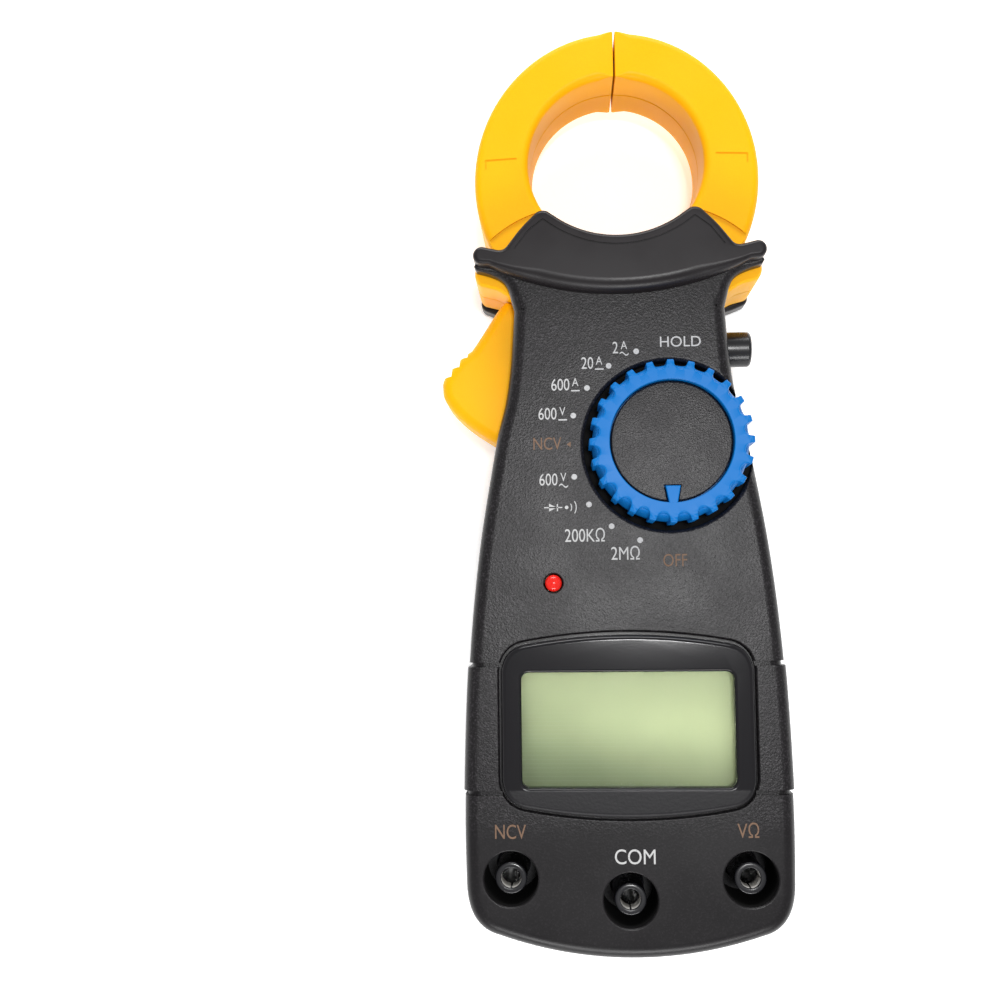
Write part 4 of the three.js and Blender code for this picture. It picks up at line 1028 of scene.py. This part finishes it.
def dial_cap():
    top, edge = DIAL_TOP - 1.4, 0.35
    profile = [(0, 33.3), (CAP_RADIUS, 33.3), (CAP_RADIUS, top - edge)]
    profile += rounded_rim(CAP_RADIUS, top, edge, 18)
    crown = 0.12
    profile += [(CAP_RADIUS * k / 5, top + crown * (1 - (k / 5) ** 2)) for k in (4, 3, 2, 1)]
    profile.append((0, top + crown))
    disc = lathe(profile, DIAL_X, DIAL_Y, 128)
    cut(disc, pointer(0.35, 30, 40))
    return piece(disc, "dial_disc", "range_dial", DISC, "dial_cap")


# -------- display, sockets, button, lamp

def display():
    x0, x1, y0, y1 = WINDOW
    bezel = plate(bezel_outline(), BEZEL_Z0, BEZEL_Z1, top=1.1, bottom=0.2, steps=8)
    cut(bezel, flared_plate(rectangle(x0, x1, y0, y1, 1.6), 0, BEZEL_Z1, 0.7),
        plate(rectangle(x0 - 0.9, x1 + 0.9, y0 - 0.9, y1 + 0.9, 1.6), 0, 29.6))
    piece(bezel, "bezel_frame", "case", bezel_material(), "display_bezel")
    edge = rectangle(x0 - 0.6, x1 + 0.6, y0 - 0.6, y1 + 0.6, 1.6)
    lens = plate(edge, 28.2, 29.3, top=0.12, bottom=0.12, steps=3)
    piece(lens, "window", "case", clear_material(), "display_lens")
    low, high = box_mm("display_glass")
    edge = rectangle(low[0], high[0], low[1], high[1], 0.6)
    cell = plate(edge, low[2], high[2], top=0.1, bottom=0.1, steps=2)
    piece(cell, "display_cell", "case", display_material(), "display_glass")


def bezel_material():
    """Smooth and glossy, with a fine grain on the strip under the window."""
    n = moulded("bezel_plastic", (0.0095, 0.009, 0.0105), grain=0.3, wear_and_highlight=0.3, worn_and_lit=2.2, specular=0.25)
    along = n.axis("Y")
    strip = n.ramp(along, *STRIP_EDGE, 1.0, 0.06)
    n.set(Normal=n.bump(n.noise(0.6, 3), 0.04, strip), Roughness=n.ramp(along, *STRIP_EDGE, 0.45, 0.12))
    return n.material


def sockets():
    for name, (x, y, _) in SOCKETS:
        top = 28.9
        corners = [(6.8, 12), (6.8, 13.7), (POST_RADIUS, 13.7), (POST_RADIUS, top), (LIP_RADIUS, top)]
        corners += [(LIP_RADIUS, 28.3), (2.75, 28.3), (2.75, 12)]
        outer = softened(corners, [0.2, 0.2, 0.5, 0.6, 0.25, 0.1, 0.1, 0.2], 5)
        post = closed_lathe(outer, x, y)
        piece(post, "socket_post_" + name, "case", GLOSS_BLACK, "jack_post_" + name)
        tube = [(0, 9.4), (2.45, 9.4), (2.45, 28.0), (2.35, 28.1), (2.15, 28.1)]
        tube += [(BORE_RADIUS, 27.9), (BORE_RADIUS, 10.6), (0, 10.6)]
        sleeve = lathe(tube, x, y, 48)
        lug = block(x - 1, x + 1, y, y + 8.0, 9.4, 10.2)
        joined(sleeve, lug, block(x - 1, x + 1, y + 7.4, y + 8.0, 9.5, 17.3))
        slots = [block(x - a, x + a, y - b, y + b, 22, 30) for a, b in ((0.2, 5), (5, 0.2))]
        cut(sleeve, *slots)
        piece(sleeve, "socket_sleeve_" + name, "case", CONTACT, "jack_contact_" + name)


def closed_lathe(profile, x, y, steps=64):
    loops = []
    for i in range(steps):
        a = 2 * math.pi * i / steps
        loops.append([(x + r * math.cos(a), y + r * math.sin(a), z) for r, z in profile])
    return facing_out(loft(loops, closed=True))


def hold_button():
    low, high = box_mm("hold_button")
    _, y, z = middle_mm("hold_button")
    length, radius, edge = high[0] - low[0], BUTTON_RADIUS, 0.8
    profile = [(0, 0), (4.9, 0), (4.9, 1.2), (radius, 1.2), (radius, length - edge)]
    profile += rounded_rim(radius, length, edge, 15) + [(2.0, length - 0.05), (0, length - 0.12)]
    cap = lathe(profile, 0, 0, 72)
    moved(cap, lambda a, b, c: (low[0] + c, y + b, z - a))
    return piece(cap, "hold_cap", "hold_key", GLOSS_BLACK, "hold_button")


def lamp():
    low, high = box_mm("indicator_led")
    x, y, _ = middle_mm("indicator_led")
    radius, rise = (high[0] - low[0]) / 2, 1.3
    turns = [math.radians(d) for d in range(0, 90, 9)]
    dome = [(radius * math.cos(a), high[2] - rise + rise * math.sin(a)) for a in turns]
    lens = lathe([(0, low[2]), (radius, low[2])] + dome + [(0, high[2])], x, y, 40)
    return piece(lens, "lamp_lens", "case", lamp_material(), "indicator_led")


# -------- back

def cross_head(x, y, z0, z1, radius, length):
    """A pan-head screw seen from the back, with a cross slot."""
    edge = 0.35
    profile = [(0, z1 + length), (1.3, z1 + length), (1.3, z1), (radius, z1), (radius, z0 + edge)]
    profile += [(radius - 0.1, z0 + 0.12), (radius - edge, z0), (0, z0)]
    made = facing_out(lathe(profile[::-1], x, y, 40))
    reach, half_width, deep = 1.5, 0.32, 0.9
    arms = [block(x - a, x + a, y - b, y + b, z0 - 1, z0 + deep)
            for a, b in ((reach, half_width), (half_width, reach))]
    return cut(made, *arms)


def screws():
    heads = [(f"case_screw_{i}", f"screw_{i}", "case", 1.8) for i in range(1, 6)]
    for node, name, body, head_height in heads + [("door_screw", "screw_door", "battery_cover", 0.7)]:
        low, high = box_mm(node)
        x, y, _ = middle_mm(node)
        radius, length = (high[0] - low[0]) / 2, high[2] - low[2] - head_height
        head = cross_head(x, y, low[2], low[2] + head_height, radius, length)
        piece(head, name, body, STEEL, node)


def battery_door():
    low, high = box_mm("battery_door")
    outline = rectangle(low[0], high[0], low[1], high[1], 2.5)
    door = plate(outline, low[2], high[2], top=0.15, bottom=0.4, steps=4)
    first, step, count = -29.5, -2.4, 5
    middles = [first + step * k for k in range(count)]
    grips = [plate(rectangle(-7, 7, y - 0.45, y + 0.45, 0.44), -1, 0.5) for y in middles]
    x, y, _ = middle_mm("door_screw")
    cut(door, *grips, rod(x, y, -1, 1.1, 2.8), rod(x, y, 0, 3, 1.6))
    return piece(door, "battery_door_visual", "battery_cover", REAR, "battery_door")


# -------- printed marks

def lettering(words, height, x, y, squeeze=0.8, align="CENTER"):
    """Printed words as a thin closed mesh on the face, with capitals of the given height."""
    curve = bpy.data.curves.new("words", "FONT")
    curve.body = words
    curve.align_x = align
    curve.align_y = "CENTER"
    curve.size = height / 0.72 * MM
    curve.extrude = 0.02 * MM
    curve.resolution_u = 5
    source = linked("words", curve)
    seen = bpy.context.evaluated_depsgraph_get()
    mesh = bpy.data.meshes.new_from_object(source.evaluated_get(seen))
    bpy.data.objects.remove(source)
    return moved(linked("words", mesh), lambda a, b, c: (x + a * squeeze, y + b, sum(INK) / 2 + c))


def bar(x0, x1, y, width=0.3):
    return plate(rectangle(x0, x1, y - width / 2, y + width / 2, width * 0.4, 2), *INK)


def wave(x0, x1, y, width=0.3):
    """The alternating-current sign: one period of a sine, as a ribbon."""
    steps, rise = 24, 0.32
    upper = [(x0 + (x1 - x0) * i / steps, y + rise * math.sin(2 * math.pi * i / steps))
             for i in range(steps + 1)]
    ribbon = [(px, py - width / 2) for px, py in upper] + [(px, py + width / 2) for px, py in reversed(upper)]
    return plate(ribbon, *INK)


def gathered(parts, name, material):
    work = bmesh.new()
    for part in parts:
        work.from_mesh(part.data)
        bpy.data.objects.remove(part)
    mesh = bpy.data.meshes.new(name)
    work.to_mesh(mesh)
    work.free()
    return piece(linked(name, mesh), name, "case", material)


def range_dots():
    places = [DOT_FIRST + DOT_STEP * k for k in range(9) if k != 4]
    turns = [math.radians(a) for a in places]
    return [rod(DIAL_X + DOT_RADIUS * math.cos(a), DIAL_Y + DOT_RADIUS * math.sin(a), *INK, 0.62, 32)
            for a in turns]


def range_label(number, unit, sign, x, y):
    """A number with a raised unit, and the sign for direct or alternating current under it."""
    parts = [lettering(number, 2.7, x, y, 0.74, "RIGHT")]
    parts.append(lettering(unit, 1.9, x + 1.2, y + 0.55, 0.8))
    parts.append((wave if sign == "alternating" else bar)(x + 0.25, x + 2.2, y - 1.25))
    return parts


def diode_mark(x, y):
    triangle = plate([(x - 1.2, y - 0.85), (x + 0.5, y), (x - 1.2, y + 0.85)], *INK)
    end = moved(bar(-0.8, 0.8, 0, 0.25), lambda a, b, c: (x + 0.6 - b, y + a, c))
    return [triangle, bar(x - 2.3, x + 1.7, y, 0.25), end]


def sound_mark(x, y):
    """A dot and two arcs, for the buzzer."""
    parts = [rod(x, y, *INK, 0.4, 20)]
    for radius in (1.5, 2.5):
        ribbon = arc(x - 0.4, y, radius + 0.1, -32, 32, 8) + arc(x - 0.4, y, radius - 0.1, 32, -32, 8)
        parts.append(plate(ribbon, *INK))
    return parts


def markings():
    white = range_dots()
    for number, unit, sign, x, y in (
        ("2", "A", "alternating", -0.4, 30.0), ("20", "A", "direct", -5.9, 26.7),
        ("600", "A", "direct", -11.2, 22.0), ("600", "V", "direct", -14.1, 15.6),
        ("600", "V", "alternating", -14.1, 1.1),
    ):
        white += range_label(number, unit, sign, x, y)
    white += diode_mark(-14.9, -4.9) + sound_mark(-12.3, -4.9)
    white += [lettering("200KΩ", 2.9, -8.4, -11.2, 0.76), lettering("2MΩ", 2.9, 0.3, -15.2, 0.78)]
    white += [lettering("HOLD", 2.4, 13.1, 31.1, 1.0), lettering("COM", 3.2, 1.1, -79.4, 0.88)]
    gathered(white, "print_white", ink("ink_white", (0.5, 0.5, 0.5)))
    arrow = plate([(-12.1, 8.9), (-11.2, 8.3), (-11.2, 9.5)], *INK)
    tan = [lettering("NCV", 2.8, -16.4, 9.0, 0.78), arrow, lettering("OFF", 2.8, 10.9, -16.8, 0.78)]
    tan += [lettering("NCV", 3.1, -25.4, -74.2, 0.76), lettering("VΩ", 3.1, 25.0, -74.0, 0.8)]
    gathered(tan, "print_tan", ink("ink_tan", (0.17, 0.095, 0.055), 1.0))


# -------- inner pieces

def inner_materials():
    """Every CAD node that still shows through a slot, a socket or an open door."""
    choice = {
        "jaw_pivot_pin": STEEL, "detent_ball": STEEL, "battery_spring": STEEL, "battery_plate": STEEL,
        "display_holder": WHITE, "switch_rotor": WHITE, "display_connector": RUBBER, "jaw_core": IRON,
        "jaw_coil": COPPER, "main_board": BOARD, "wiper_contacts": BRASS, "buzzer": BRASS,
        "hold_switch": GLOSS_BLACK, "battery_1": JACKET, "battery_2": JACKET,
    }
    for name, made in frame["nodes"].items():
        for part, material in choice.items():
            if part in name:
                made.data.materials.clear()
                made.data.materials.append(material)


# -------- camera, light and floor

def camera():
    """Where the photograph was taken from: nearly straight above, a little left of the middle."""
    data = bpy.data.cameras.new("camera")
    data.lens = 41.76
    data.sensor_width = 36
    made = linked("camera", data)
    made.location = (-14.03 * MM, -24.95 * MM, 282 * MM)
    made.rotation_euler = [math.radians(a) for a in (4.927, 2.950, -0.595)]
    bpy.context.scene.camera = made


def area(name, place, aim, size, power):
    """A lamp in metres and watts that looks from its place towards aim."""
    data = bpy.data.lights.new(name, "AREA")
    data.shape = "ELLIPSE"
    data.size, data.size_y = size
    data.energy = power
    made = linked(name, data)
    made.location = place
    made.rotation_euler = (Vector(aim) - Vector(place)).to_track_quat("-Z", "Y").to_euler()


def studio():
    far = 3000
    corners = [(-far, -far, 0), (far, -far, 0), (far, far, 0), (-far, far, 0)]
    floor = new_object(corners, [(0, 1, 2, 3)], "floor")
    n = Nodes("floor_white")
    n.set(Base_Color=n.mix(n.noise(60, 2), (0.94, 0.94, 0.94, 1), (0.96, 0.96, 0.96, 1)), Roughness=0.9)
    n.set(Emission_Color=(1, 1, 1, 1), Emission_Strength=0.4)
    floor.data.materials.append(n.material)
    world = bpy.data.worlds.new("studio")
    world.use_nodes = True
    world.node_tree.nodes["Background"].inputs["Color"].default_value = (1, 1, 1, 1)
    world.node_tree.nodes["Background"].inputs["Strength"].default_value = 0.48
    bpy.context.scene.world = world
    # The small lamp gives the highlight on the face, and its mirror image stays clear of the window.
    area("overhead", (0.066, 0.024, 0.83), (0.066, 0.024, 0.0), (0.12, 0.12), 3.1)
    area("top_strip", (0.0, 0.75, 0.35), (0, 0, 0.02), (0.7, 0.25), 4.5)
    area("front_strip", (0.0, -0.7, 0.35), (0, 0.03, 0.02), (0.6, 0.2), 3.2)


bpy.context.scene.view_settings.view_transform = "Standard"
for build in (
    camera, studio, front_cover, rear_cover, hand_guard, jaws, trigger, trigger_spring, dial_knob, dial_cap,
    display, sockets, hold_button, lamp, battery_door, screws, markings, inner_materials,
):
    build()
